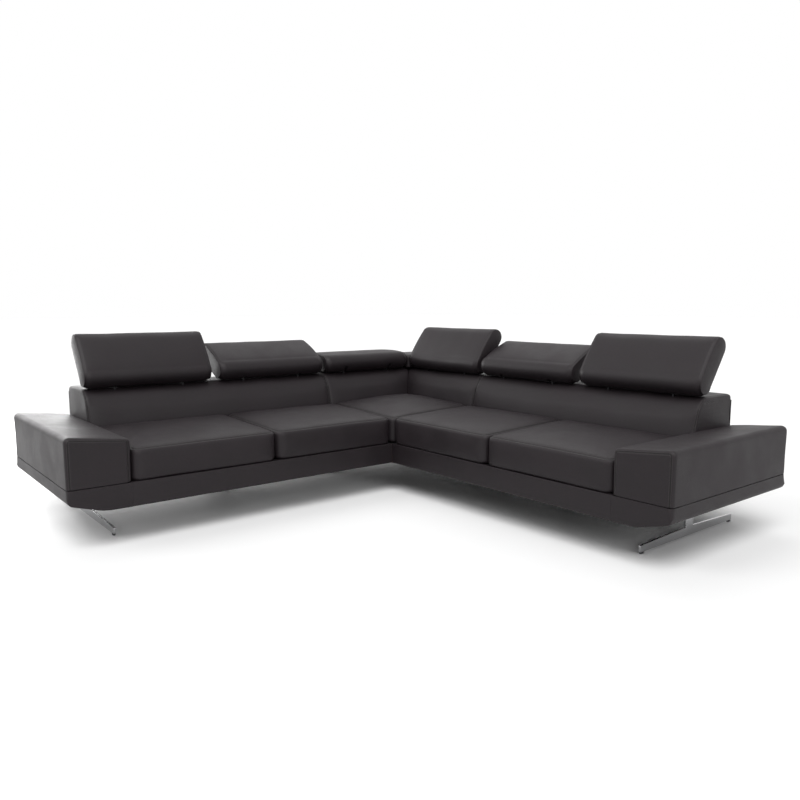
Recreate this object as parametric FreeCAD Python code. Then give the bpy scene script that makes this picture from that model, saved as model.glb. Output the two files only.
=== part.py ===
"""Corner sofa with two equal wings, skid legs and six headrests on friction hinges.

The right wing is drawn in wing coordinates: u runs along the wing from the wall corner,
v runs from the back plane into the room and z runs up from the floor. The left wing is
the right wing mirrored in the corner's diagonal. Lengths are in millimetres.
"""
import FreeCAD
import Part

import math
import os

Vec = FreeCAD.Vector

# Overall plan
WING_LENGTH = 2700.0
MODULE_DEPTH = 965.0
ARM_WIDTH = 275.0
SEATS_PER_WING = 2

# Heights above the floor
DECK_HEIGHT = 277.0
PLINTH_HEIGHT = 111.0
SEAT_FRONT_THICKNESS = 147.0
SEAT_BACK_RISE = 25.0
ARM_HEIGHT_INSIDE = 197.0
ARM_HEIGHT_OUTSIDE = 228.0
BACK_HEIGHT = 349.0
CORNER_POST_RISE = 91.0

# Gaps between neighbouring pieces
CUSHION_GAP = 1.2
SEAM_GAP = 0.4

# Timber frames
BOARD = 22.0
BASE_COVER = 12.0
PLINTH_LAP = 24.0
PLINTH_TOP_RADIUS = 3.0
PLINTH_FOOT_RADIUS = 6.0
BACK_COVER = 6.0
DUST_COVER = 1.2
BLOCK_LOWERING = 2.5
STRAP_RAIL_START = 240.0
STRAP_RAIL_WIDTH = 44.0
BACK_FOOT_PADDING = 68.0
BACK_FRONT_PADDING = 33.0
BACK_TOP_PADDING = 30.0
BLOCK_SIDE = 80.0

# Webbing straps under the seats
STRAP_WIDTH = 70.0
STRAP_THICKNESS = 2.5
STRAPS_PER_SEAT = 5

# Seat cushions
SEAT_REAR = 361.0
SEAT_FRONT_SETBACK = 4.0
SEAT_CORNER_RADIUS = 46.0
SEAT_CROWN = 9.0
SEAT_DRAW_IN = 3.0
SEAT_FRONT_BOW = 2.5
SEAT_EDGE_ROLL = 22.0
SEAT_FOOT_ROLL = 16.0

# Padded forms: crowned tops rise over this share of their shorter side, and arcs become chords
CROWN_REACH = 0.36
CROWN_TIERS = 3
CROWN_CORNER = 16.0
CHORD_TURN = 26.0
LEAST_CHORDS = 3

# Back cushions
BACK_FRONT_AT_SEAT = 341.0
BACK_FRONT_AT_TOP = 301.0
BACK_FOOT_FRONT = 330.0
BACK_FOOT_LIFT = 24.0
BACK_NOSE_RADIUS = 90.0
BACK_REAR_RADIUS = 14.0
BACK_TUCK_RADIUS = 60.0
BACK_CROWN = 15.0
BACK_FRONT_BOW = 3.0
BACK_END_ROLL = 9.0
BACK_END_WALL = 8.0

# Corner post
POST_EDGE_ROLL = 11.0
POST_FOOT_ROLL = 5.0
POST_CROWN = 3.0

# Arms
ARM_SHELL = 24.0
ARM_BAND_SHELL = 10.0
ARM_INNER_EDGE_RADIUS = 20.0
ARM_OUTER_EDGE_RADIUS = 27.0
ARM_FRONT_EDGE_RADIUS = 24.0
ARM_KEEL_WIDTH = 120.0
ARM_KEEL_RISE = 45.0
ARM_KEEL_RADIUS = 30.0
ARM_BAND_INNER_RADIUS = 3.0
ARM_BOARD = 18.0

# Headrests
HEADREST_START_INNER = 22.0
HEADREST_START_OUTER = 34.0
HEADREST_SPARE_WIDTH = 42.0
POST_TO_HEADREST_GAP = 8.0
CORNER_HEADREST_START = 299.0
CORNER_HEADREST_END_GAP = 11.0
HEADREST_REACH = 210.0
HEADREST_END_RADIUS = 50.0
HEADREST_FRONT_BULGE = 15.0
HEADREST_BACK_BULGE = 4.0
HEADREST_SEAM_ROLL = 5.0
HEADREST_CLEARANCE = 4.0
HEADREST_PIVOT_DEPTH = 237.0
TILT_RAISED = 35.0
TILT_HALF = 62.5
TILT_FOLDED = 90.0

# Headrest boards and hinges
HEAD_BOARD = 12.0
HEAD_BOARD_START = 42.0
HEAD_BOARD_END_MARGIN = 36.0
HINGE_SPREAD = 0.27
HINGE_BLADE = 8.0
HINGE_BLADE_WIDTH = 24.0
HINGE_EYE = 4.0
HINGE_SIDE_GAP = 0.35
HINGE_POCKET_GAP = 6.0
HINGE_FLANGE_LENGTH = 96.0
HINGE_FLANGE_WIDTH = 38.0
HINGE_BASE_LENGTH = 70.0
HINGE_BASE_WIDTH = 44.0
HINGE_BASE_PLATE = 3.0
PIN_RADIUS = 4.0
RUNNING_GAP = 0.05

# Skid legs
SKID_INSET = 39.0
SKID_BAR = 10.0
SKID_FRONT = 802.0
SKID_REAR = 24.0
SKID_END_HEIGHT = 30.0
SKID_MIDDLE_HEIGHT = 41.0
SKID_STUB_WIDTH = 62.0
SKID_PLATE = 5.0
SKID_PLATE_LENGTH = 150.0
SKID_PLATE_WIDTH = 62.0
SKID_EDGE = 0.8
GLIDE_HEIGHT = 8.0
GLIDE_LENGTH = 26.0
GLIDE_INSET = 3.0
GLIDE_CORNER = 2.5

# Screws, bolts and feet
SHANK_SIDES = 6
SCREW_RADIUS = 3.0
SCREW_LENGTH = 26.0
SCREW_HEAD_RADIUS = 6.0
SCREW_HEAD = 3.0
BOLT_RADIUS = 4.0
HOLE_OVERRUN = 1.0
BOLT_HEAD_RADIUS = 7.5
BOLT_HEAD = 5.5
NUT_HEIGHT = 6.5
FOOT_TOP_HALF = 26.0
FOOT_TOE_HALF = 19.0
FOOT_BOLT_DEPTH = 60.0
REAR_FOOT_DEPTH = 70.0
FRONT_FOOT_DEPTH = 290.0

# Places worked out from the sizes above
PLINTH_BOTTOM = DECK_HEIGHT - PLINTH_HEIGHT
ARM_INSIDE = WING_LENGTH - ARM_WIDTH
SEAT_WIDTH = (ARM_INSIDE - MODULE_DEPTH) / SEATS_PER_WING
SEAT_FRONT = MODULE_DEPTH - SEAT_FRONT_SETBACK
HEADREST_WIDTH = SEAT_WIDTH - HEADREST_SPARE_WIDTH
CORNER_HEADREST_WIDTH = MODULE_DEPTH - CORNER_HEADREST_START - CORNER_HEADREST_END_GAP
BACK_TOP = DECK_HEIGHT + BACK_HEIGHT
BACK_RIB_BOTTOM_DEPTH = BACK_FOOT_FRONT - BACK_FOOT_PADDING
BACK_RIB_TOP_DEPTH = BACK_FRONT_AT_TOP - BACK_FRONT_PADDING
RAIL_BOTTOM = PLINTH_BOTTOM + DUST_COVER
RAIL_TOP = DECK_HEIGHT - STRAP_THICKNESS
BACK_BOARD_TOP = BACK_TOP - BACK_TOP_PADDING
PIVOT_HEIGHT = BACK_TOP + HEADREST_CLEARANCE + HEADREST_END_RADIUS + HEADREST_BACK_BULGE
SKID_CENTRE = ARM_INSIDE + SKID_INSET
SKID_MIDDLE = (SKID_FRONT + SKID_REAR) / 2
FOLDED_OVERHANG = max(0.0, HEADREST_REACH + HEADREST_END_RADIUS - HEADREST_PIVOT_DEPTH)
ORIGIN_X = (WING_LENGTH - FOLDED_OVERHANG) / 2
ORIGIN_Y = -WING_LENGTH / 2


def point(u, v, z):
    """A point of the right wing, seen from the wall corner on the floor."""
    return Vec(u, -v, z)


def box(u0, u1, v0, v1, z0, z1):
    """Square block between two opposite corners."""
    return Part.makeBox(u1 - u0, v1 - v0, z1 - z0, point(u0, v1, z0))


def rod(centre, axis, radius, length):
    """Round bar from its first end's centre."""
    return Part.makeCylinder(radius, length, centre, axis)


def prism(centre, axis, radius, length, sides):
    """Regular prism along u or z: a bolt's head, or a hidden shank or its hole drawn with flats."""
    side = Vec(0, 0, 1) if abs(axis.x) > 0.5 else Vec(1, 0, 0)
    other = axis.cross(side)
    corners = []
    for i in range(sides + 1):
        angle = 2 * math.pi * i / sides
        corners.append(centre + side * (radius * math.cos(angle)) + other * (radius * math.sin(angle)))
    return Part.Face(Part.makePolygon(corners)).extrude(axis * length)


def shank(centre, axis, radius, length):
    """Hidden shank of a screw or bolt, or the hole for one."""
    return prism(centre, axis, radius, length, SHANK_SIDES)


def outline_edges(corners, place, bows=None):
    """Edges of an outline whose corners (a, b, radius) are rounded and whose edges may bow outwards."""
    count = len(corners)
    rounded = []
    for i, (a, b, radius) in enumerate(corners):
        here = Vec(a, b, 0)
        before = (Vec(corners[i - 1][0], corners[i - 1][1], 0) - here).normalize()
        after = corners[(i + 1) % count]
        after = (Vec(after[0], after[1], 0) - here).normalize()
        half = before.getAngle(after) / 2
        reach = radius / math.tan(half)
        inward = (before + after).normalize()
        rounded.append((here + before * reach,
                        here + inward * (radius / math.sin(half) - radius),
                        here + after * reach))
    edges = []
    for i, (start, middle, end) in enumerate(rounded):
        if corners[i][2] > 0:
            edges.append(Part.Arc(place(start), place(middle), place(end)).toShape())
        following = rounded[(i + 1) % count][0]
        bow = bows[i] if bows else 0.0
        if bow:
            along = (following - end).normalize()
            top = (end + following) / 2 + Vec(along.y, -along.x, 0) * bow
            edges.append(Part.Arc(place(end), place(top), place(following)).toShape())
        elif (following - end).Length > 1e-6:
            edges.append(Part.LineSegment(place(end), place(following)).toShape())
    return edges


def outline(corners, place, bows=None):
    """Closed wire of an outline with rounded corners."""
    return Part.Wire(outline_edges(corners, place, bows))


def ring(edges):
    """Points round an outline, its arcs taken as a few chords."""
    points = []
    for edge in edges:
        chords = 1
        if isinstance(edge.Curve, Part.Circle):
            turn = math.degrees(edge.Length / edge.Curve.Radius)
            chords = max(LEAST_CHORDS, math.ceil(turn / CHORD_TURN))
        points += edge.discretize(Number=chords + 1)[:-1]
    return points


def flat_faces(points):
    """One face where the points lie in a plane, or else two triangles."""
    points = [p for i, p in enumerate(points) if (p - points[i - 1]).Length > 1e-6]
    if len(points) < 3:
        return []
    normal = (points[1] - points[0]).cross(points[2] - points[0])
    level = len(points) != 4 or abs(normal.normalize().dot(points[3] - points[0])) < 1e-7
    runs = [points] if level else [points[:3], [points[0], points[2], points[3]]]
    return [Part.Face(Part.makePolygon(run + run[:1])) for run in runs]


def skin(rings):
    """Closed solid of flat faces lofted through a row of like rings of points."""
    faces = flat_faces(rings[0]) + flat_faces(rings[-1])
    for low, high in zip(rings, rings[1:]):
        for i in range(len(low)):
            faces += flat_faces([low[i - 1], low[i], high[i], high[i - 1]])
    solid = Part.makeSolid(Part.makeShell(faces))
    if solid.Volume < 0:
        solid.reverse()
    return solid


def loft(wires):
    """Closed solid through a row of like wires."""
    solid = Part.makeLoft(wires, True, True).Solids[0]
    if solid.Volume < 0:
        solid.reverse()
    return solid


def quarter_round(radius, steps=2):
    """Rise and inset along a rounded edge, from its flat side to its upright side."""
    angles = [math.pi / 2 * i / steps for i in range(steps + 1)]
    return [(radius * (1 - math.cos(angle)), radius * (1 - math.sin(angle))) for angle in angles]


def crown_levels(first, reach, height):
    """Rise and inset of a low crown, from the inset where its edge roll ends."""
    shares = [i / CROWN_TIERS for i in range(1, CROWN_TIERS + 1)]
    return [(height * (1 - (1 - share) ** 2), first + share * (reach - first)) for share in shares]


def profile_solid(corners, u0, u1):
    """Solid with a rounded outline in the v-z plane, drawn out along u."""
    wire = outline(corners, lambda p: point(u0, p.x, p.y))
    return Part.Face(wire).extrude(Vec(u1 - u0, 0, 0))


def mirrored(shape):
    """The same piece of the left wing."""
    return shape.mirror(Vec(0, 0, 0), Vec(1, 1, 0))


def group(shapes):
    """Separate solids kept side by side in one node."""
    solids = []
    for shape in shapes:
        solids.extend(shape.Solids)
    return Part.makeCompound(solids)


def seat_start(index):
    """Where a wing's seat begins along u, counted from the corner."""
    return MODULE_DEPTH + index * SEAT_WIDTH


def spread(first, last, count):
    """Evenly spaced places from first to last, both included."""
    return [first + (last - first) * i / (count - 1) for i in range(count)]


# Seat cushions

def seat_cushion(u0, u1, v0, v1, u_rise, v_rise, front_bow):
    """Boxed cushion: rolled edges, sides drawn in, a bowed front and a crowned top."""
    top = SEAT_FRONT_THICKNESS

    def raised(p, height, tilt):
        rise = v_rise * (v1 + p.y) / (v1 - v0) + u_rise * (u1 - p.x) / (u1 - u0)
        return Vec(p.x, p.y, DECK_HEIGHT + height + tilt * rise)

    def level(height, tilt, inset):
        radius = max(SEAT_CORNER_RADIUS - inset, CROWN_CORNER)
        corners = [(u0 + inset, -v1 + inset, radius), (u1 - inset, -v1 + inset, radius),
                   (u1 - inset, -v0 - inset, radius), (u0 + inset, -v0 - inset, radius)]
        bows = [front_bow, -SEAT_DRAW_IN, -SEAT_DRAW_IN, -SEAT_DRAW_IN]
        return ring(outline_edges(corners, lambda p: raised(p, height, tilt), bows))

    levels = [level(0, 0, SEAT_FOOT_ROLL), level(SEAT_FOOT_ROLL, 0, 0)]
    levels += [level(top - rise, 1, inset) for rise, inset in reversed(quarter_round(SEAT_EDGE_ROLL))]
    reach = CROWN_REACH * min(u1 - u0, v1 - v0)
    levels += [level(top + rise, 1, inset) for rise, inset in crown_levels(SEAT_EDGE_ROLL, reach, SEAT_CROWN)]
    return skin(levels)


def wing_seat(index):
    """One of a wing's seat cushions."""
    gap = CUSHION_GAP / 2
    start = seat_start(index)
    return seat_cushion(start + gap, start + SEAT_WIDTH - gap, SEAT_REAR, SEAT_FRONT, 0, SEAT_BACK_RISE,
                        SEAT_FRONT_BOW)


def corner_seat():
    """The square cushion of the corner, level with both wings at its inner corner."""
    reach = MODULE_DEPTH - CUSHION_GAP / 2
    rise = SEAT_BACK_RISE / 2
    return seat_cushion(SEAT_REAR, reach, SEAT_REAR, reach, rise, rise, -SEAT_DRAW_IN)


# Back cushions

def back_outline(u, fullness, inset):
    """Side outline of a back cushion, open to the frame behind it; fullness swells its front."""
    swell = BACK_CROWN * fullness - inset
    top = BACK_TOP - inset
    foot = DECK_HEIGHT + BACK_FOOT_LIFT
    seat = DECK_HEIGHT + SEAT_FRONT_THICKNESS + SEAT_BACK_RISE
    corners = [
        (BACK_RIB_TOP_DEPTH, BACK_BOARD_TOP, 0),
        (BACK_RIB_TOP_DEPTH, BACK_BOARD_TOP - BOARD, 0),
        (BACK_RIB_BOTTOM_DEPTH, foot, 0),
        (BACK_FOOT_FRONT + swell, foot, 0),
        (BACK_FRONT_AT_SEAT + swell, seat, BACK_TUCK_RADIUS),
        (BACK_FRONT_AT_TOP + swell, top, BACK_NOSE_RADIUS),
        (SEAM_GAP, top, BACK_REAR_RADIUS),
        (SEAM_GAP, BACK_BOARD_TOP, 0),
    ]
    return ring(outline_edges(corners, lambda p: point(u, p.x, p.y), [0, 0, 0, 0, BACK_FRONT_BOW, 0, 0, 0]))


def back_cushion(u0, u1, rolled_start=True):
    """Back cushion over its frame: rolled ends and a front that swells towards the middle."""
    roll = BACK_END_ROLL
    ending = [back_outline(u1 - roll, 0, 0), back_outline(u1, 0, roll)]
    if not rolled_start:
        return skin([back_outline(u0, 1, 0), back_outline((u0 + u1) / 2, 0.75, 0)] + ending)
    middle = [back_outline(u0 + roll + share * (u1 - u0 - 2 * roll), fullness, 0)
              for share, fullness in ((0, 0), (0.25, 0.75), (0.5, 1), (0.75, 0.75))]
    return skin([back_outline(u0, 0, roll)] + middle + ending)


def riser_slots(places):
    """Slots through a back cushion's top for the hinge blades."""
    slots = []
    for u in places:
        half = HINGE_BLADE / 2 + 1.0
        depth = HINGE_BLADE_WIDTH / 2 + 1.0
        slots.append(box(u - half, u + half, HEADREST_PIVOT_DEPTH - depth, HEADREST_PIVOT_DEPTH + depth,
                         BACK_BOARD_TOP - 1.0, BACK_TOP + 1.0))
        reach = HINGE_BASE_LENGTH / 2 + 1.0
        width = HINGE_BASE_WIDTH / 2 + 1.0
        slots.append(box(u - width, u + width, HEADREST_PIVOT_DEPTH - reach, HEADREST_PIVOT_DEPTH + reach,
                         BACK_BOARD_TOP - 1.0, BACK_BOARD_TOP + HINGE_BASE_PLATE + 1.0))
    return slots


def long_back():
    """Back cushion across both seats of a wing."""
    gap = CUSHION_GAP / 2
    end = ARM_INSIDE - SEAM_GAP
    cushion = back_cushion(MODULE_DEPTH + gap, end)
    rear = BACK_COVER + SEAM_GAP
    foot = DECK_HEIGHT + BACK_FOOT_LIFT
    corners = [(rear, foot), (BACK_RIB_BOTTOM_DEPTH, foot), (BACK_RIB_TOP_DEPTH, BACK_BOARD_TOP - BOARD),
               (BACK_RIB_TOP_DEPTH, BACK_BOARD_TOP), (rear, BACK_BOARD_TOP)]
    wall = profile_solid([(v, z, 0) for v, z in corners], end - BACK_END_WALL, end)
    return cushion.fuse(wall).cut(group(riser_slots(wing_hinges())))


def corner_back():
    """Back cushion of the corner's right half, mitred in the corner."""
    cushion = back_cushion(SEAM_GAP, MODULE_DEPTH - CUSHION_GAP / 2, rolled_start=False)
    size = 2 * MODULE_DEPTH
    other_half = Part.Face(Part.makePolygon([
        Vec(-size, size + SEAM_GAP, 0), Vec(size, -size + SEAM_GAP, 0), Vec(-size, -size, 0),
        Vec(-size, size + SEAM_GAP, 0)])).extrude(Vec(0, 0, 2 * BACK_TOP))
    cushion = cushion.cut(other_half)
    return cushion.cut(group(riser_slots(corner_hinges())))


def corner_post():
    """Raised block that fills the corner between the two corner headrests."""
    low = BACK_COVER + SEAM_GAP
    high = CORNER_HEADREST_START - POST_TO_HEADREST_GAP
    base = BACK_TOP + SEAM_GAP
    top = CORNER_POST_RISE

    def level(height, inset):
        radius = max(SEAT_EDGE_ROLL - inset, CROWN_CORNER)
        corners = [(low + inset, -high + inset, radius), (high - inset, -high + inset, radius),
                   (high - inset, -low - inset, radius), (low + inset, -low - inset, radius)]
        return ring(outline_edges(corners, lambda p: Vec(p.x, p.y, base + height)))

    levels = [level(0, POST_FOOT_ROLL), level(POST_FOOT_ROLL, 0)]
    levels += [level(top - rise, inset) for rise, inset in reversed(quarter_round(POST_EDGE_ROLL))]
    reach = CROWN_REACH * (high - low)
    levels += [level(top + rise, inset) for rise, inset in crown_levels(POST_EDGE_ROLL, reach, POST_CROWN)]
    return skin(levels)


# Timber frames

def bolt_places():
    """Depths of the bolts that join two modules side by side."""
    return [0.33 * MODULE_DEPTH, 0.75 * MODULE_DEPTH]


def bolt_height():
    """Height of those bolts."""
    return (RAIL_BOTTOM + RAIL_TOP) / 2


def bolt_holes(u):
    """Holes through the boards each side of a joint at u."""
    reach = 2 * BOARD
    return [shank(point(u - reach, v, bolt_height()), Vec(1, 0, 0), BOLT_RADIUS + RUNNING_GAP, 2 * reach)
            for v in bolt_places()]


def foot_holes(places):
    """Holes for the feet's bolts."""
    low = PLINTH_BOTTOM - HOLE_OVERRUN
    return [shank(point(u, v, low), Vec(0, 0, 1), BOLT_RADIUS + RUNNING_GAP,
                  FOOT_BOLT_DEPTH + 2 * HOLE_OVERRUN) for u, v in places]


def wing_cross_rails():
    """Places along u of a wing's cross rails, at each end and between the seats."""
    first = MODULE_DEPTH + BOARD / 2 + SEAM_GAP / 2
    last = ARM_INSIDE - BOARD / 2 - SEAM_GAP / 2
    return spread(first, last, SEATS_PER_WING + 1)


def wing_feet():
    """Feet under a wing: behind the first cross rails, where the arm's skid doesn't carry."""
    return [(u, v) for u in wing_cross_rails()[:-1] for v in (REAR_FOOT_DEPTH, FRONT_FOOT_DEPTH)]


def strap_rail(u0, u1):
    """Flat board that takes the straps' rear ends and the ribs' feet."""
    return box(u0, u1, STRAP_RAIL_START, STRAP_RAIL_START + STRAP_RAIL_WIDTH, RAIL_TOP - BOARD, RAIL_TOP)


def wing_base():
    """Timber base of a wing: long rails front and back, cross rails between them."""
    start = MODULE_DEPTH + SEAM_GAP / 2
    end = ARM_INSIDE - SEAM_GAP / 2
    front = MODULE_DEPTH - BASE_COVER
    boards = [box(start, end, front - BOARD, front, RAIL_BOTTOM, RAIL_TOP),
              box(start, end, BACK_COVER, BACK_COVER + BOARD, RAIL_BOTTOM, RAIL_TOP)]
    cross = wing_cross_rails()
    for u in cross:
        boards.append(box(u - BOARD / 2, u + BOARD / 2, BACK_COVER + BOARD, front - BOARD,
                          RAIL_BOTTOM, RAIL_TOP))
    for left, right in zip(cross, cross[1:]):
        boards.append(strap_rail(left + BOARD / 2, right - BOARD / 2))
    holes = group(bolt_holes(MODULE_DEPTH) + bolt_holes(ARM_INSIDE) + foot_holes(wing_feet()))
    return group([board.cut(holes) for board in boards])


def corner_feet():
    """Feet under the corner: three in blocks along the walls and one under the middle rail."""
    near = BACK_COVER + BLOCK_SIDE / 2
    far = MODULE_DEPTH - 1.2 * BLOCK_SIDE
    middle = 0.46 * MODULE_DEPTH
    return [(near, near), (far, near), (near, far), (middle, middle)]


def corner_base():
    """Timber base of the corner: four rails, a middle rail, strap rails and blocks for the feet."""
    low = BACK_COVER
    high = MODULE_DEPTH - SEAM_GAP / 2
    places = corner_feet()
    middle = places[-1][0]
    boards = [box(low, high, low, low + BOARD, RAIL_BOTTOM, RAIL_TOP),
              box(low, high, high - BOARD, high, RAIL_BOTTOM, RAIL_TOP),
              box(low, low + BOARD, low + BOARD, high - BOARD, RAIL_BOTTOM, RAIL_TOP),
              box(high - BOARD, high, low + BOARD, high - BOARD, RAIL_BOTTOM, RAIL_TOP)]
    end = STRAP_RAIL_START + STRAP_RAIL_WIDTH
    boards.append(strap_rail(low + BOARD, high - BOARD))
    boards.append(mirrored(strap_rail(end, high - BOARD)))
    boards.append(box(middle - BOARD / 2, middle + BOARD / 2, end, high - BOARD, RAIL_BOTTOM, RAIL_TOP))
    half = BLOCK_SIDE / 2
    rails = group(boards)
    for u, v in places[:-1]:
        block = box(u - half, u + half, v - half, v + half, RAIL_BOTTOM, RAIL_TOP - BLOCK_LOWERING)
        boards.append(block.cut(rails))
    right_holes = bolt_holes(MODULE_DEPTH)
    left_holes = [mirrored(hole) for hole in right_holes]
    holes = group(right_holes + left_holes + foot_holes(places))
    return group([board.cut(holes) for board in boards])


def webbing(u0, u1, v1, seats):
    """Straps stretched from the strap rail to the front rail under each seat."""
    straps = []
    rear = BACK_RIB_BOTTOM_DEPTH + SEAM_GAP
    width = (u1 - u0) / seats
    for seat in range(seats):
        left = u0 + seat * width
        for u in spread(left + STRAP_WIDTH, left + width - STRAP_WIDTH, STRAPS_PER_SEAT):
            straps.append(box(u - STRAP_WIDTH / 2, u + STRAP_WIDTH / 2, rear, v1, RAIL_TOP, DECK_HEIGHT))
    return group(straps)


def back_rib(u):
    """Upright board of a back frame, cut to the slope of the back's front."""
    front = BACK_RIB_BOTTOM_DEPTH - SEAM_GAP
    corners = [(BACK_COVER, RAIL_TOP), (front, RAIL_TOP), (front, DECK_HEIGHT + BACK_FOOT_LIFT),
               (BACK_RIB_TOP_DEPTH - SEAM_GAP, BACK_BOARD_TOP - BOARD), (BACK_COVER, BACK_BOARD_TOP - BOARD)]
    return profile_solid([(v, z, 0) for v, z in corners], u - BOARD / 2, u + BOARD / 2)


def back_frame(u0, u1):
    """Three upright ribs under a top board that carries the headrest hinges."""
    top = box(u0, u1, BACK_COVER, BACK_RIB_TOP_DEPTH - SEAM_GAP, BACK_BOARD_TOP - BOARD, BACK_BOARD_TOP)
    ribs = [back_rib(u) for u in spread(u0 + BOARD / 2, u1 - BOARD / 2, 3)]
    return [top] + ribs


def wing_back_frame():
    """Back frame of a wing."""
    return group(back_frame(MODULE_DEPTH + CUSHION_GAP, ARM_INSIDE - BACK_END_WALL - CUSHION_GAP))


def corner_back_frame():
    """Back frames of the corner's two sides, butted in the corner."""
    right = back_frame(BACK_COVER, MODULE_DEPTH - CUSHION_GAP)
    left = [mirrored(board).cut(group(right)) for board in right]
    return group(right + left)


# Covers of the base and the back

def plinth_cover():
    """Padded band along a wing's front, turned in over the rail and rounded at its lower edge."""
    start = MODULE_DEPTH + SEAM_GAP / 2
    end = ARM_INSIDE - SEAM_GAP / 2
    back = MODULE_DEPTH - BASE_COVER
    lap = MODULE_DEPTH - PLINTH_LAP
    under = RAIL_TOP + SEAM_GAP
    corners = [(back, PLINTH_BOTTOM, 0), (back, under, 0), (lap, under, 0), (lap, DECK_HEIGHT, 0),
               (MODULE_DEPTH, DECK_HEIGHT, PLINTH_TOP_RADIUS),
               (MODULE_DEPTH, PLINTH_BOTTOM, PLINTH_FOOT_RADIUS)]
    return profile_solid(corners, start, end)


def rear_panel(u0, u1):
    """Flat covered panel behind a module, from the base to the back's top."""
    return box(u0, u1, 0, BACK_COVER, PLINTH_BOTTOM, BACK_BOARD_TOP)


def corner_rear_panels():
    """The corner's two rear panels, meeting at its outer edge."""
    reach = MODULE_DEPTH - SEAM_GAP / 2
    return group([rear_panel(0, reach), mirrored(rear_panel(BACK_COVER, reach))])


def dust_cover(u0, u1, v1, feet):
    """Cloth under a module, pierced for the feet's bolts."""
    cloth = box(u0, u1, BACK_COVER, v1, PLINTH_BOTTOM, RAIL_BOTTOM)
    return cloth.cut(group(foot_holes(feet)))


# Arms

def arm_outline(inset, front_edge):
    """Front outline of an arm above the deck: its top slopes down towards the seat."""
    inside = ARM_INSIDE + SEAM_GAP / 2 + inset
    outside = WING_LENGTH - inset
    bottom = DECK_HEIGHT
    corners = [(inside, bottom, 0), (outside, bottom, 0),
               (outside, DECK_HEIGHT + ARM_HEIGHT_OUTSIDE - inset, ARM_OUTER_EDGE_RADIUS),
               (inside, DECK_HEIGHT + ARM_HEIGHT_INSIDE - inset, ARM_INNER_EDGE_RADIUS)]
    return outline(corners, lambda p: point(p.x, front_edge, p.y))


def arm_pad():
    """Padded box of the arm over its frame: rolled front and rear edges, open underneath."""
    roll = ARM_FRONT_EDGE_RADIUS
    depth = MODULE_DEPTH
    wires = [arm_outline(inset, rise) for rise, inset in quarter_round(roll)]
    wires += [arm_outline(inset, depth - rise) for rise, inset in reversed(quarter_round(roll))]
    pad = loft(wires)
    hollow = arm_hollow()
    return pad.cut(box(*hollow, DECK_HEIGHT - 1, arm_frame_top()))


def arm_hollow():
    """Plan of the space inside an arm that its frame fills."""
    return (ARM_INSIDE + ARM_SHELL, WING_LENGTH - ARM_SHELL, ARM_SHELL, MODULE_DEPTH - ARM_SHELL)


def arm_frame_top():
    """Top of the arm's frame, under the lower side of the padded top."""
    return DECK_HEIGHT + ARM_HEIGHT_INSIDE - ARM_SHELL


def arm_keel_start():
    """Where an arm's underside begins to rise towards its outer side."""
    return ARM_INSIDE + ARM_KEEL_WIDTH


def arm_band():
    """Lower band of the arm: flat under the skid, then rising to the outer side."""
    inside = ARM_INSIDE + SEAM_GAP / 2
    corners = [(inside, DECK_HEIGHT, 0), (inside, PLINTH_BOTTOM, ARM_BAND_INNER_RADIUS),
               (arm_keel_start(), PLINTH_BOTTOM, 2 * ARM_KEEL_RADIUS),
               (WING_LENGTH, PLINTH_BOTTOM + ARM_KEEL_RISE, ARM_KEEL_RADIUS),
               (WING_LENGTH, DECK_HEIGHT, 0)]
    wire = outline(corners, lambda p: point(p.x, 0, p.y))
    band = Part.Face(wire).extrude(point(0, MODULE_DEPTH, 0))
    edge = ARM_FRONT_EDGE_RADIUS
    trim = box(ARM_INSIDE, WING_LENGTH + 1, -1, MODULE_DEPTH + 1, 0, DECK_HEIGHT + 1)
    rounded = outline([(ARM_INSIDE - edge, 0, 0), (WING_LENGTH, 0, edge), (WING_LENGTH, -MODULE_DEPTH, edge),
                       (ARM_INSIDE - edge, -MODULE_DEPTH, 0)], lambda p: Vec(p.x, p.y, 0))
    plan = Part.Face(rounded).extrude(Vec(0, 0, DECK_HEIGHT + 1))
    band = band.common(plan).common(trim)
    u0, u1, v0, v1 = arm_hollow()
    hollow = box(u0, u1, v0, v1, PLINTH_BOTTOM + ARM_BAND_SHELL, DECK_HEIGHT + 1)
    slope = arm_hollow_slope(u0, u1, v0, v1)
    return band.cut(hollow.cut(slope)).cut(group(skid_screw_holes() + arm_bolt_holes()))


def arm_hollow_slope(u0, u1, v0, v1):
    """Wedge of the lower band that stays solid over its rising underside."""
    rise = ARM_KEEL_RISE * (u1 - arm_keel_start()) / (WING_LENGTH - arm_keel_start())
    floor = PLINTH_BOTTOM + ARM_BAND_SHELL
    corners = [point(arm_keel_start(), v0, floor - 1), point(u1, v0, floor - 1),
               point(u1, v0, floor + rise), point(arm_keel_start(), v0, floor),
               point(arm_keel_start(), v0, floor - 1)]
    return Part.Face(Part.makePolygon(corners)).extrude(point(0, v1 - v0, 0))


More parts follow.
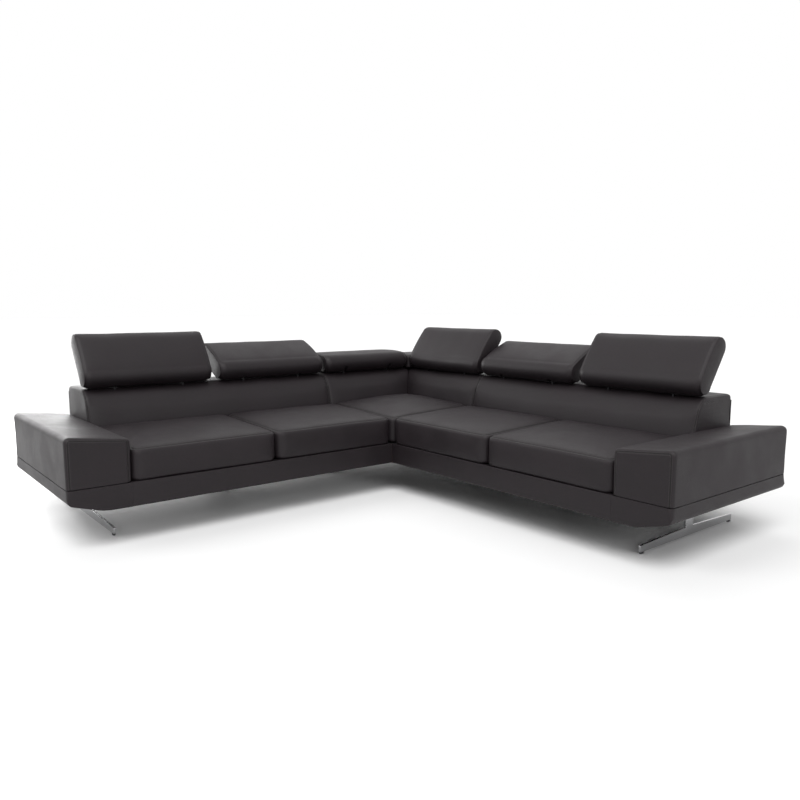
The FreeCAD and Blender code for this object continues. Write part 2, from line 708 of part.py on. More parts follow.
def arm_frame():
    """Boards of the arm: floor, two sides, front, rear and top."""
    u0, u1, v0, v1 = arm_hollow()
    floor = PLINTH_BOTTOM + ARM_BAND_SHELL
    top = arm_frame_top()
    slope = arm_hollow_slope(u0, u1, v0, v1)
    sides = [box(u0, u0 + ARM_BOARD, v0, v1, floor + ARM_BOARD, top),
             box(u1 - ARM_BOARD, u1, v0, v1, floor + ARM_KEEL_RISE + ARM_BOARD, top)]
    inner = (u0 + ARM_BOARD, u1 - ARM_BOARD)
    across = [box(*inner, v0, v0 + ARM_BOARD, floor + ARM_BOARD, top - ARM_BOARD),
              box(*inner, v1 - ARM_BOARD, v1, floor + ARM_BOARD, top - ARM_BOARD)]
    lid = box(*inner, v0, v1, top - ARM_BOARD, top)
    base = box(u0, arm_keel_start(), v0, v1, floor, floor + ARM_BOARD)
    boards = [sides[0], sides[1], across[0].cut(slope), across[1].cut(slope), lid, base]
    holes = group(skid_screw_holes() + arm_bolt_holes())
    return group([board.cut(holes) for board in boards])


def arm_bolt_holes():
    """Holes for the bolts between an arm and its wing."""
    return [shank(point(ARM_INSIDE - 2 * BOARD, v, bolt_height()), Vec(1, 0, 0), BOLT_RADIUS + RUNNING_GAP,
                  2 * BOARD + ARM_SHELL + 2 * ARM_BOARD) for v in bolt_places()]


# Skid legs, glides and feet

def skid_leg():
    """Flat bar on edge, tallest in the middle, with a stub up to its fixing plate."""
    stub = SKID_STUB_WIDTH / 2
    low = GLIDE_HEIGHT
    shoulder = low + SKID_MIDDLE_HEIGHT
    top = PLINTH_BOTTOM - SKID_PLATE
    corners = [(SKID_REAR, low), (SKID_FRONT, low), (SKID_FRONT, low + SKID_END_HEIGHT),
               (SKID_MIDDLE + stub, shoulder), (SKID_MIDDLE + stub, top), (SKID_MIDDLE - stub, top),
               (SKID_MIDDLE - stub, shoulder), (SKID_REAR, low + SKID_END_HEIGHT)]
    corners = [(v, z, 0) for v, z in corners]
    bar = profile_solid(corners, SKID_CENTRE - SKID_BAR / 2, SKID_CENTRE + SKID_BAR / 2)
    bar = bar.makeChamfer(SKID_EDGE, bar.Edges)
    half = SKID_PLATE_LENGTH / 2
    width = SKID_PLATE_WIDTH / 2
    plate = box(SKID_CENTRE - width, SKID_CENTRE + width, SKID_MIDDLE - half, SKID_MIDDLE + half,
                top - SKID_EDGE, PLINTH_BOTTOM)
    return bar.fuse(plate).removeSplitter().cut(group(skid_screw_holes()))


def skid_screw_places():
    """Four screw places of a skid's fixing plate."""
    along = SKID_PLATE_LENGTH / 2 - 2 * SCREW_HEAD_RADIUS
    across = SKID_PLATE_WIDTH / 2 - 1.6 * SCREW_HEAD_RADIUS
    return [(SKID_CENTRE + i * across, SKID_MIDDLE + j * along) for i in (-1, 1) for j in (-1, 1)]


def skid_screw_holes():
    """Screw holes through the plate, the arm's band and its floor board."""
    low = PLINTH_BOTTOM - 2 * SKID_PLATE
    return [shank(point(u, v, low), Vec(0, 0, 1), SCREW_RADIUS + RUNNING_GAP, 2 * SKID_PLATE + SCREW_LENGTH)
            for u, v in skid_screw_places()]


def skid_screws():
    """Pan-head screws that hold a skid leg to its arm."""
    screws = []
    under = PLINTH_BOTTOM - SKID_PLATE - SKID_EDGE
    up = Vec(0, 0, 1)
    for u, v in skid_screw_places():
        head = prism(point(u, v, under - SCREW_HEAD), up, SCREW_HEAD_RADIUS, SCREW_HEAD, SHANK_SIDES)
        screws.append(head.fuse(shank(point(u, v, under), up, SCREW_RADIUS, SCREW_LENGTH)))
    return screws


def skid_glides():
    """Thin plastic glides under both ends of a skid."""
    glides = []
    half = SKID_BAR / 2
    for v in (SKID_REAR + GLIDE_INSET, SKID_FRONT - GLIDE_INSET - GLIDE_LENGTH):
        pad = box(SKID_CENTRE - half, SKID_CENTRE + half, v, v + GLIDE_LENGTH, 0, GLIDE_HEIGHT)
        upright = [edge for edge in pad.Edges if abs(edge.tangentAt(edge.FirstParameter).z) > 0.5]
        glides.append(pad.makeChamfer(GLIDE_CORNER, upright))
    return glides


def feet(places):
    """Plain square feet that taper downwards, bored for their bolts."""
    shapes = []
    for u, v in places:
        rings = []
        for half, height in ((FOOT_TOE_HALF, 0), (FOOT_TOP_HALF, PLINTH_BOTTOM)):
            signs = ((-1, -1), (1, -1), (1, 1), (-1, 1))
            rings.append([Vec(u + i * half, -v + j * half, height) for i, j in signs])
        middle = PLINTH_BOTTOM / 2
        bore = shank(point(u, v, middle), Vec(0, 0, 1), BOLT_RADIUS + RUNNING_GAP, middle)
        shapes.append(skin(rings).cut(bore))
    return shapes


def foot_bolts(places):
    """Hanger bolts between the feet and the rails."""
    length = PLINTH_BOTTOM / 2 + FOOT_BOLT_DEPTH
    return [shank(point(u, v, PLINTH_BOTTOM / 2), Vec(0, 0, 1), BOLT_RADIUS, length) for u, v in places]


def joint_bolt(u0, u1, v):
    """Hexagon bolt through two boards, with its nut on the far side."""
    along = Vec(1, 0, 0)
    head = prism(point(u0 - BOLT_HEAD, v, bolt_height()), along, BOLT_HEAD_RADIUS, BOLT_HEAD, 6)
    body = shank(point(u0, v, bolt_height()), along, BOLT_RADIUS, u1 - u0)
    nut = prism(point(u1, v, bolt_height()), along, BOLT_HEAD_RADIUS, NUT_HEIGHT, 6)
    return head.fuse([body, nut])


def wing_bolts():
    """Bolts that join a wing to the corner and to its arm."""
    bolts = []
    module = SEAM_GAP / 2 + BOARD
    for v in bolt_places():
        bolts.append(joint_bolt(MODULE_DEPTH - module, MODULE_DEPTH + module, v))
        bolts.append(joint_bolt(ARM_INSIDE - module, ARM_INSIDE + ARM_SHELL + ARM_BOARD, v))
    return bolts


# Headrests

def headrest_start(seat):
    """Where the headrest of a wing's seat begins along u."""
    return seat_start(seat) + (HEADREST_START_OUTER if seat else HEADREST_START_INNER)


def hinge_places(start, width=HEADREST_WIDTH):
    """Places of a headrest's two hinges along u."""
    return [start + width * (0.5 - HINGE_SPREAD), start + width * (0.5 + HINGE_SPREAD)]


def wing_hinges():
    """Places of all hinges of a wing's headrests."""
    return [place for seat in range(SEATS_PER_WING) for place in hinge_places(headrest_start(seat))]


def corner_hinges():
    """Places of a corner headrest's hinges."""
    return hinge_places(CORNER_HEADREST_START, CORNER_HEADREST_WIDTH)


def tilted(u, a, b, tilt):
    """Point of a headrest: a up its middle plane from the pivot, b out of its front face."""
    angle = math.radians(tilt)
    v = HEADREST_PIVOT_DEPTH - a * math.sin(angle) + b * math.cos(angle)
    return point(u, v, PIVOT_HEIGHT + a * math.cos(angle) + b * math.sin(angle))


def face_arc(bulge, inset, side):
    """Three points of a face that touches both end rounds, swelling by the bulge."""
    half = HEADREST_REACH / 2
    offset = (half * half - bulge * bulge) / (2 * bulge)
    radius = HEADREST_END_RADIUS - inset
    length = math.hypot(half, offset)
    slip = radius * half / length
    rise = radius * offset / length
    return [Vec(-slip, side * rise, 0), Vec(half, side * (radius + bulge), 0),
            Vec(HEADREST_REACH + slip, side * rise, 0)]


def headrest_outline(u, inset, tilt):
    """Side outline of a headrest: two round ends joined by a full front and a flatter back."""
    front = face_arc(HEADREST_FRONT_BULGE, inset, 1)
    back = face_arc(HEADREST_BACK_BULGE, inset, -1)
    radius = HEADREST_END_RADIUS - inset
    toe = [back[0], Vec(-radius, 0, 0), front[0]]
    crest = [front[2], Vec(HEADREST_REACH + radius, 0, 0), back[2]]
    edges = []
    for run in (toe, front, crest, list(reversed(back))):
        edges.append(Part.Arc(*[tilted(u, p.x, p.y, tilt) for p in run]).toShape())
    return ring(edges)


def headrest_prism(u0, u1, outline_points, tilt):
    """Straight solid across a headrest from an outline in its own plane."""
    corners = [tilted(u0, a, b, tilt) for a, b in outline_points]
    corners.append(corners[0])
    return Part.Face(Part.makePolygon(corners)).extrude(Vec(u1 - u0, 0, 0))


def board_span(start, width):
    """The headrest board's ends along u."""
    return start + HEAD_BOARD_END_MARGIN, start + width - HEAD_BOARD_END_MARGIN


def headrest_board(start, width, tilt):
    """Plywood board inside a headrest, fixed to both hinges."""
    u0, u1 = board_span(start, width)
    return headrest_prism(u0, u1, board_section(), tilt)


def board_section():
    """Section of the headrest board."""
    end = HEADREST_REACH
    half = HEAD_BOARD / 2
    return [(HEAD_BOARD_START, -half), (end, -half), (end, half), (HEAD_BOARD_START, half)]


def hinge_pocket(u, tilt):
    """Room in a headrest round a hinge, open behind and below for the blade's whole sweep."""
    half = HINGE_BLADE / 2 + HINGE_SIDE_GAP + HINGE_EYE + HINGE_POCKET_GAP / 2
    side = HINGE_BLADE_WIDTH / 2 + HINGE_POCKET_GAP
    reach = 2 * HEADREST_END_RADIUS
    corners = [(side, HINGE_BLADE_WIDTH / 2), (0, side)]
    first = math.radians(TILT_RAISED)
    last = math.radians(TILT_FOLDED)
    down = (-math.cos(first), -math.sin(first))
    front = (down[1] * side, -down[0] * side)
    corners.append((-front[0], -front[1]) if front[1] < 0 else front)
    corners.append((corners[-1][0] + reach * down[0], corners[-1][1] + reach * down[1]))
    down = (-math.cos(last), -math.sin(last))
    rear = (-down[1] * side, down[0] * side)
    corners.append((rear[0] + reach * down[0], rear[1] + reach * down[1]))
    pocket = headrest_prism(u - half, u + half, corners, tilt)
    flange = HINGE_FLANGE_WIDTH / 2 + SEAM_GAP
    back = -HEAD_BOARD / 2 - HINGE_EYE - SEAM_GAP
    low = HINGE_BLADE_WIDTH / 2
    high = HEAD_BOARD_START + HINGE_FLANGE_LENGTH
    room = headrest_prism(u - flange, u + flange, [(low, back), (high, back), (high, 0), (low, 0)], tilt)
    inner = HINGE_BLADE / 2 + HINGE_SIDE_GAP
    rise = HINGE_BLADE_WIDTH / 2 + SEAM_GAP
    slot = headrest_prism(u + inner - HINGE_SIDE_GAP, u + inner + HINGE_EYE + SEAM_GAP,
                          [(0, -rise), (HEAD_BOARD_START, -rise), (HEAD_BOARD_START, rise), (0, rise)], tilt)
    return pocket.fuse([room, slot]).removeSplitter()


def headrest_cushion(start, width, tilt):
    """Headrest cushion: flat boxed ends, full faces, and pockets for its board and hinges."""
    end = start + width
    roll = HEADREST_SEAM_ROLL
    rings = [headrest_outline(start, roll, tilt), headrest_outline(start + roll, 0, tilt),
             headrest_outline(end - roll, 0, tilt), headrest_outline(end, roll, tilt)]
    cushion = skin(rings).cut(headrest_board(start, width, tilt))
    for u in hinge_places(start, width):
        cushion = cushion.cut(hinge_pocket(u, tilt))
    return cushion


def hinge_arm(u, tilt):
    """Moving half of a hinge: a round-ended flat bar beside the blade, with a flange on the board."""
    inner = HINGE_BLADE / 2 + HINGE_SIDE_GAP
    back = -HEAD_BOARD / 2 - HINGE_EYE
    radius = HINGE_BLADE_WIDTH / 2
    end = HEAD_BOARD_START - SEAM_GAP
    corners = [(-radius, -radius, radius), (end, -radius, 0), (end, radius, 0), (-radius, radius, radius)]
    points = ring(outline_edges(corners, lambda p: tilted(u + inner, p.x, p.y, tilt)))
    bar = Part.Face(Part.makePolygon(points + points[:1])).extrude(Vec(HINGE_EYE, 0, 0))
    half = HINGE_FLANGE_WIDTH / 2
    far = HEAD_BOARD_START + HINGE_FLANGE_LENGTH - SEAM_GAP
    near = radius + HINGE_POCKET_GAP
    flange = headrest_prism(u - half, u + half, [(near, back), (far, back), (far, back + HINGE_EYE),
                                                 (near, back + HINGE_EYE)], tilt)
    bore = rod(tilted(u, 0, 0, tilt), Vec(1, 0, 0), PIN_RADIUS + RUNNING_GAP, 2 * inner + HINGE_EYE)
    return bar.fuse(flange).removeSplitter().cut(bore)


def hinge_base(u):
    """Fixed half of a hinge: a plate on the back's top board and a round-ended blade."""
    half = HINGE_BLADE / 2
    width = HINGE_BLADE_WIDTH / 2
    foot = BACK_BOARD_TOP
    front = min(HEADREST_PIVOT_DEPTH + HINGE_BASE_LENGTH / 2, BACK_RIB_TOP_DEPTH - SEAM_GAP)
    plate = box(u - HINGE_BASE_WIDTH / 2, u + HINGE_BASE_WIDTH / 2,
                HEADREST_PIVOT_DEPTH - HINGE_BASE_LENGTH / 2, front, foot, foot + HINGE_BASE_PLATE)
    near = HEADREST_PIVOT_DEPTH - width
    far = HEADREST_PIVOT_DEPTH + width
    top = PIVOT_HEIGHT + width
    corners = [(near, foot, 0), (far, foot, 0), (far, top, width), (near, top, width)]
    points = ring(outline_edges(corners, lambda p: point(u - half, p.x, p.y)))
    blade = Part.Face(Part.makePolygon(points + points[:1])).extrude(Vec(HINGE_BLADE, 0, 0))
    bore = rod(point(u - half - 1, HEADREST_PIVOT_DEPTH, PIVOT_HEIGHT), Vec(1, 0, 0),
               PIN_RADIUS + RUNNING_GAP, HINGE_BLADE + 2)
    return plate.fuse(blade).removeSplitter().cut(bore)


def hinge_pin(u):
    """Pin through a hinge's blade and its moving bar."""
    half = HINGE_BLADE / 2 + HINGE_SIDE_GAP
    start = point(u - half, HEADREST_PIVOT_DEPTH, PIVOT_HEIGHT)
    return rod(start, Vec(1, 0, 0), PIN_RADIUS, 2 * half + HINGE_EYE + HINGE_SIDE_GAP)


# Assembly

HEADRESTS = {
    "left_outer": (True, headrest_start(1), HEADREST_WIDTH, TILT_RAISED),
    "left_inner": (True, headrest_start(0), HEADREST_WIDTH, TILT_HALF),
    "corner_left": (True, CORNER_HEADREST_START, CORNER_HEADREST_WIDTH, TILT_FOLDED),
    "corner_right": (False, CORNER_HEADREST_START, CORNER_HEADREST_WIDTH, TILT_RAISED),
    "right_inner": (False, headrest_start(0), HEADREST_WIDTH, TILT_HALF),
    "right_outer": (False, headrest_start(1), HEADREST_WIDTH, TILT_RAISED),
}


def both_wings(shapes):
    """The right wing's pieces together with their mirrored copies."""
    return group(list(shapes) + [mirrored(shape) for shape in shapes])


def build():
    """Every node of the sofa, by name, seen from the wall corner."""
    nodes = {}
    pairs = {
        "base_frame": wing_base(),
        "webbing": webbing(MODULE_DEPTH, ARM_INSIDE, MODULE_DEPTH - PLINTH_LAP - SEAM_GAP, SEATS_PER_WING),
        "back_frame": wing_back_frame(),
        "plinth_cover": plinth_cover(),
        "rear_panel": rear_panel(MODULE_DEPTH + SEAM_GAP / 2, ARM_INSIDE - SEAM_GAP / 2),
        "back_cushion": long_back(),
        "corner_back_cushion": corner_back(),
        "seat_cushion_inner": wing_seat(0),
        "seat_cushion_outer": wing_seat(1),
        "arm_pad": arm_pad(),
        "arm_band": arm_band(),
        "arm_frame": arm_frame(),
        "skid_leg": skid_leg(),
    }
    for name, shape in pairs.items():
        nodes[name + "_right"] = shape
        nodes[name + "_left"] = mirrored(shape)

    nodes["base_frame_corner"] = corner_base()
    nodes["webbing_corner"] = webbing(STRAP_RAIL_START + STRAP_RAIL_WIDTH, MODULE_DEPTH - BOARD,
                                      MODULE_DEPTH - SEAM_GAP / 2, 1)
    nodes["back_frame_corner"] = corner_back_frame()
    nodes["rear_panel_corner"] = corner_rear_panels()
    wing_cloth = dust_cover(MODULE_DEPTH + SEAM_GAP / 2, ARM_INSIDE - SEAM_GAP / 2,
                            MODULE_DEPTH - BASE_COVER, wing_feet())
    corner_cloth = dust_cover(BACK_COVER, MODULE_DEPTH - SEAM_GAP / 2,
                              MODULE_DEPTH - SEAM_GAP / 2, corner_feet())
    nodes["dust_covers"] = group([wing_cloth, mirrored(wing_cloth), corner_cloth])
    nodes["seat_cushion_corner"] = corner_seat()
    nodes["corner_post_cushion"] = corner_post()
    nodes["skid_glides"] = both_wings(skid_glides())
    nodes["skid_screws"] = both_wings(skid_screws())
    nodes["frame_bolts"] = both_wings(wing_bolts())
    nodes["support_feet"] = group(list(both_wings(feet(wing_feet())).Solids) + feet(corner_feet()))
    nodes["foot_bolts"] = group(list(both_wings(foot_bolts(wing_feet())).Solids) + foot_bolts(corner_feet()))

    bases, pins = [], []
    for name, (left, start, width, tilt) in HEADRESTS.items():
        side = mirrored if left else (lambda shape: shape)
        places = hinge_places(start, width)
        nodes["headrest_cushion_" + name] = side(headrest_cushion(start, width, tilt))
        nodes["headrest_board_" + name] = side(headrest_board(start, width, tilt))
        nodes["headrest_arms_" + name] = side(group([hinge_arm(u, tilt) for u in places]))
        bases.extend(side(hinge_base(u)) for u in places)
        pins.extend(side(hinge_pin(u)) for u in places)
    nodes["headrest_hinge_bases"] = group(bases)
    nodes["headrest_hinge_pins"] = group(pins)
    return nodes


def main():
    os.makedirs("parts", exist_ok=True)
    shift = Vec(-ORIGIN_X, -ORIGIN_Y, 0)
    for name, shape in sorted(build().items()):
        shape.translate(shift)
        shape.exportStep("parts/" + name + ".step")
        print(name, len(shape.Solids), "solids", round(shape.Volume / 1e6, 3), "litres",
              "valid" if shape.isValid() else "NOT VALID")


main()
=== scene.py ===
import math

import bmesh
import bpy
import numpy as np
from mathutils import Matrix, Vector, noise


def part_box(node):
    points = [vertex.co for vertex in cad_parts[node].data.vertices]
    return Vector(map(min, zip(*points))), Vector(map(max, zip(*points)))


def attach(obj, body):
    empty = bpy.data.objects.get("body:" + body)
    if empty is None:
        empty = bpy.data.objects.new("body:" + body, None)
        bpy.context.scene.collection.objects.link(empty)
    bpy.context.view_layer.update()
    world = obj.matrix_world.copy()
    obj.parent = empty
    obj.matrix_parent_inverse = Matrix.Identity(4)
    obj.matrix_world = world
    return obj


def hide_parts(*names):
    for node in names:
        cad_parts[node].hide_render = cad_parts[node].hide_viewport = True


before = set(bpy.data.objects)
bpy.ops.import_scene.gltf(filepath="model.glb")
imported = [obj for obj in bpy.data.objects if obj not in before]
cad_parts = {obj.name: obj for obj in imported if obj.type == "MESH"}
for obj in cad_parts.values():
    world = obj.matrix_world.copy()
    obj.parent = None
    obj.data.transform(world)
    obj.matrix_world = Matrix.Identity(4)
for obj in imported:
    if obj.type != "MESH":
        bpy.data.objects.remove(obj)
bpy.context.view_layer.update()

# Sizes of the upholstery, in metres
DECK = 0.277
SEAT_FRONT_THICKNESS = 0.147
SEAT_REAR_RISE = 0.025
SEAT_CROWN = 0.007
SEAT_CORNER_RADIUS = 0.046
SEAT_EDGE_ROLL = 0.022
SEAT_FOOT_ROLL = 0.016
SEAT_FRONT_ROOM = 0.004
BACK_DEPTH = 0.341
BACK_LEAN = 0.045
BACK_BULGE = 0.013
BACK_NOSE_RADIUS = 0.090
BACK_REAR_RADIUS = 0.020
POST_CORNER_RADIUS = 0.026
POST_EDGE_ROLL = 0.022
POST_FOOT_ROLL = 0.010
ARM_HEIGHT_INSIDE = 0.197
ARM_HEIGHT_OUTSIDE = 0.228
ARM_OUTER_RADIUS = 0.027
ARM_EDGE_RADIUS = 0.020
ARM_SEAM_RADIUS = 0.004
ARM_FULLNESS = 0.003
KEEL_PLACE = 1.2065
KEEL_SLOPE = 16.5
KEEL_RADIUS = 0.030
BAND_RADIUS = 0.022
BAND_FOOT_RADIUS = 0.004
PLINTH_FOOT_RADIUS = 0.006
PLINTH_TOP_RADIUS = 0.003
COVER_GAP = 0.0006

# Sizes of the headrests, whose hinge line on the right wing is given by its place
PIVOT_Y = 1.113
PIVOT_Z = 0.684
HEADREST_WIDE = 0.688
HEADREST_SHORT = 0.655
HEADREST_REACH = 0.210
HEADREST_RADIUS = 0.050
HEADREST_ROLL = 0.0586
HEADREST_REAR = 0.0560
HEADREST_CLEARANCE = 0.0010
HEADREST_FRONT_BULGE = 0.011
HEADREST_REAR_BULGE = 0.003
HEADREST_END_SWELL = 0.0065
HINGE_SPREAD = 0.27
HINGE_ROOM = 0.0114
HINGE_SIDE = 0.018
HINGE_REACH = 0.11
TILT_RAISED = 35.0
TILT_HALF = 62.5
TILT_FOLDED = 90.0
TILTS = {"right_outer": TILT_RAISED, "right_inner": TILT_HALF, "corner_right": TILT_RAISED,
         "left_outer": TILT_RAISED, "left_inner": TILT_HALF, "corner_left": TILT_FOLDED}

# The wings mirror each other over the corner's diagonal, where x + y has this value
DIAGONAL = 0.0115

# Places of the seams from the edges of the pieces, and how deep and wide they sink
SEAT_SEAM_INSET = 0.012
BACK_SEAM_INSET = 0.006
HEADREST_SEAM_INSET = 0.005
ARM_SEAM_INSET = 0.014
SEAM_SINK = 0.0030
ARM_SEAM_SINK = 0.0018
SEAM_WIDTH = 0.005

# Spacing of the even nets of faces
CUSHION_NET = 0.012
SMALL_NET = 0.009
BAND_NET = 0.03
PLINTH_NET = 0.02

# Cloth simulation of the pads: pressure, frames, and the most that each kind moves
PUFF_PRESSURE = 4.0
PUFF_FRAMES = 20
SEAT_PUFF = 0.010
BACK_PUFF = 0.007
SMALL_PUFF = 0.006

# Angle in degrees over which an edge of the smooth covers stays sharp
SHARP_ANGLE = 40

UPHOLSTERY = []
PUFFED = []


# Modelling steps

def deselect():
    """Leave edit mode with nothing selected."""
    active = bpy.context.view_layer.objects.active
    if active and active.mode != "OBJECT":
        bpy.ops.object.mode_set(mode="OBJECT")
    bpy.ops.object.select_all(action="DESELECT")


def take(piece):
    """Make one piece the selected one."""
    deselect()
    piece.select_set(True)
    bpy.context.view_layer.objects.active = piece


def block(name, low, high):
    """Box added at its size and place."""
    deselect()
    low, high = Vector(low), Vector(high)
    bpy.ops.mesh.primitive_cube_add(size=1, location=(low + high) / 2)
    piece = bpy.context.active_object
    piece.name = name
    piece.data.name = name
    piece.scale = high - low
    bpy.ops.object.transform_apply(location=True, rotation=True, scale=True)
    return piece


def round_edges(piece, test, radius, steps):
    """Bevel the edges both of whose ends pass a test of their places."""
    take(piece)
    bpy.ops.object.mode_set(mode="EDIT")
    bpy.ops.mesh.select_mode(type="EDGE")
    bpy.ops.mesh.select_all(action="DESELECT")
    mesh = bmesh.from_edit_mesh(piece.data)
    for edge in mesh.edges:
        if test(edge.verts[0].co, edge.verts[1].co):
            edge.select_set(True)
    bmesh.update_edit_mesh(piece.data)
    bpy.ops.mesh.bevel(offset=radius, segments=steps, affect="EDGES", clamp_overlap=False)
    bpy.ops.object.mode_set(mode="OBJECT")


def same(*values):
    """True where values lie in one plane."""
    return max(values) - min(values) < 1e-5


def along(axis):
    """Test for edges that run along an axis."""
    others = [i for i in range(3) if i != axis]
    return lambda a, b: all(same(a[i], b[i]) for i in others) and not same(a[axis], b[axis])


def at(**planes):
    """Test for edges that lie in every one of some planes, each given by its axis and place."""
    places = [("xyz".index(axis), place) for axis, place in planes.items()]
    return lambda a, b: all(same(a[i], b[i], place) for i, place in places)


def slice_evenly(piece, axis, spacing):
    """Cut a piece across an axis by even planes, so that it can bulge."""
    take(piece)
    places = [v.co[axis] for v in piece.data.vertices]
    low, high = min(places), max(places)
    count = max(1, round((high - low) / spacing))
    normal = [0, 0, 0]
    normal[axis] = 1
    bpy.ops.object.mode_set(mode="EDIT")
    for i in range(1, count):
        spot = [0, 0, 0]
        spot[axis] = low + (high - low) * i / count
        bpy.ops.mesh.select_all(action="SELECT")
        bpy.ops.mesh.bisect(plane_co=spot, plane_no=normal)
    bpy.ops.mesh.select_all(action="SELECT")
    bpy.ops.mesh.remove_doubles(threshold=0.0004)
    bpy.ops.object.mode_set(mode="OBJECT")


def even_out(piece, voxel):
    """Remesh a piece to an even net of faces."""
    take(piece)
    piece.data.remesh_voxel_size = voxel
    piece.data.remesh_voxel_adaptivity = 0
    bpy.ops.object.voxel_remesh()


def rows_of(owner, name, count):
    """Vectors of a mesh read into an array of rows."""
    found = np.empty(count * 3, np.float32)
    owner.foreach_get(name, found)
    return found.reshape(-1, 3).astype(float)


def places_of(piece):
    """Vertex places as an array."""
    return rows_of(piece.data.vertices, "co", len(piece.data.vertices))


def set_places(piece, places):
    """Write vertex places back."""
    piece.data.vertices.foreach_set("co", places.astype(np.float32).ravel())
    piece.data.update()


def normals_of(piece):
    """Vertex normals as an array."""
    return rows_of(piece.data.vertices, "normal", len(piece.data.vertices))


def bend_places(piece, rule):
    """Move every vertex by a rule of its place."""
    set_places(piece, rule(places_of(piece)))


def finer(piece):
    """Subdivide smoothly once and apply."""
    take(piece)
    modifier = piece.modifiers.new("finer", "SUBSURF")
    modifier.levels = 1
    modifier.render_levels = 1
    bpy.ops.object.modifier_apply(modifier=modifier.name)


def smooth(piece, angle=None):
    """Shade a piece smooth, by angle where one is given."""
    take(piece)
    if angle is None:
        bpy.ops.object.shade_smooth()
    else:
        bpy.ops.object.shade_smooth_by_angle(angle=math.radians(angle))


def step(values, low, high):
    """Smooth step from 0 at low to 1 at high."""
    share = np.clip((values - low) / (high - low), 0, 1)
    return share * share * (3 - 2 * share)


def ridge(distance, width):
    """1 on a line, falling off smoothly beside it."""
    return np.exp(-(distance / width) ** 2)


def resting(places, level):
    """1 where a pad rests on a level, and 0 from a little above it."""
    return 1 - step(places[:, 2], level + 0.004, level + 0.02)


# Seams, kept on each piece as distance from the seam, run along it and weight

def rounded_inset(a, b, low, high, radius):
    """How far points lie inside a rounded rectangle, and their run round it."""
    centre = ((low[0] + high[0]) / 2, (low[1] + high[1]) / 2)
    half = ((high[0] - low[0]) / 2, (high[1] - low[1]) / 2)
    x = a - centre[0]
    y = b - centre[1]
    qx = np.abs(x) - (half[0] - radius)
    qy = np.abs(y) - (half[1] - radius)
    outside = np.hypot(np.maximum(qx, 0), np.maximum(qy, 0))
    inside = np.minimum(np.maximum(qx, qy), 0)
    run = np.where(qx > qy, y, x)
    corner = (qx > 0) & (qy > 0)
    turn = np.arctan2(np.maximum(qy, 1e-9), np.maximum(qx, 1e-9)) * radius
    run = np.where(corner, half[1] - radius + turn, run)
    return radius - outside - inside, run


def keep_seam(piece, distance, run, where=1.0):
    """Store a seam on a piece for its leather and for the puffing up."""
    seam = piece.data.attributes.new("seam", "FLOAT_VECTOR", "POINT")
    rows = np.stack([distance, run, np.broadcast_to(where, distance.shape)], axis=1)
    seam.data.foreach_set("vector", rows.astype(np.float32).ravel())


def seam_of(piece):
    """Stored seam as an array."""
    return rows_of(piece.data.attributes["seam"].data, "vector", len(piece.data.vertices))


def puff_later(piece, hold, cap, rule):
    """Note a pad to blow up, held where hold is 1 and moved by cap at most, and then bent by a rule."""
    PUFFED.append((piece, np.clip(hold, 0, 1), cap, rule))


def puff_up():
    """Cloth simulation of all the noted pads together, kept within their caps."""
    rest = [places_of(piece) for piece, hold, cap, rule in PUFFED]
    for piece, hold, cap, rule in PUFFED:
        group = piece.vertex_groups.new(name="held")
        for index, weight in enumerate(hold):
            if weight > 0.01:
                group.add([index], float(weight), "REPLACE")
        cloth = piece.modifiers.new("puff", "CLOTH")
        cloth.settings.use_pressure = True
        cloth.settings.uniform_pressure_force = PUFF_PRESSURE
        cloth.settings.quality = 4
        cloth.settings.vertex_group_mass = "held"
        cloth.settings.effector_weights.gravity = 0
        cloth.point_cache.frame_end = PUFF_FRAMES
    scene = bpy.context.scene
    for number in range(1, PUFF_FRAMES + 1):
        scene.frame_set(number)
    seen = bpy.context.evaluated_depsgraph_get()
    for (piece, hold, cap, rule), before in zip(PUFFED, rest):
        shaped = piece.evaluated_get(seen).to_mesh()
        move = rows_of(shaped.vertices, "co", len(before)) - before
        piece.evaluated_get(seen).to_mesh_clear()
        size = np.linalg.norm(move, axis=1)
        share = cap * np.tanh(size / cap) / np.maximum(size, 1e-9)
        set_places(piece, before + move * share[:, None])
    for piece, hold, cap, rule in PUFFED:
        piece.modifiers.remove(piece.modifiers["puff"])
        piece.vertex_groups.remove(piece.vertex_groups["held"])
    scene.frame_set(1)
    for piece, hold, cap, rule in PUFFED:
        bend_places(piece, rule)


def pull_in(piece, depth):
    """Sink the surface along its seam."""
    seam = seam_of(piece)
    places = places_of(piece)
    sink = depth * ridge(seam[:, 0], SEAM_WIDTH) * seam[:, 2]
    set_places(piece, places - normals_of(piece) * sink[:, None])


def loosen(piece, size, grain, seed):
    """Slow waves of worn-in padding, different on each piece."""
    places = places_of(piece)
    shift = Vector((seed * 3.7, seed * 1.9, seed * 5.3))
    waves = np.array([noise.noise(Vector(p) * grain + shift) for p in places])
    set_places(piece, places + normals_of(piece) * (waves * size)[:, None])


def clear_of_roll(piece):
    """Press a back away from the round foot of the headrests that turn over it."""
    places = places_of(piece)
    across = places[:, 1] - PIVOT_Y
    height = places[:, 2] - PIVOT_Z
    distance = np.maximum(np.hypot(across, height), 1e-6)
    growth = np.maximum((HEADREST_ROLL + HEADREST_CLEARANCE) / distance, 1.0)
    places[:, 1] = PIVOT_Y + across * growth
    places[:, 2] = PIVOT_Z + height * growth
    set_places(piece, places)


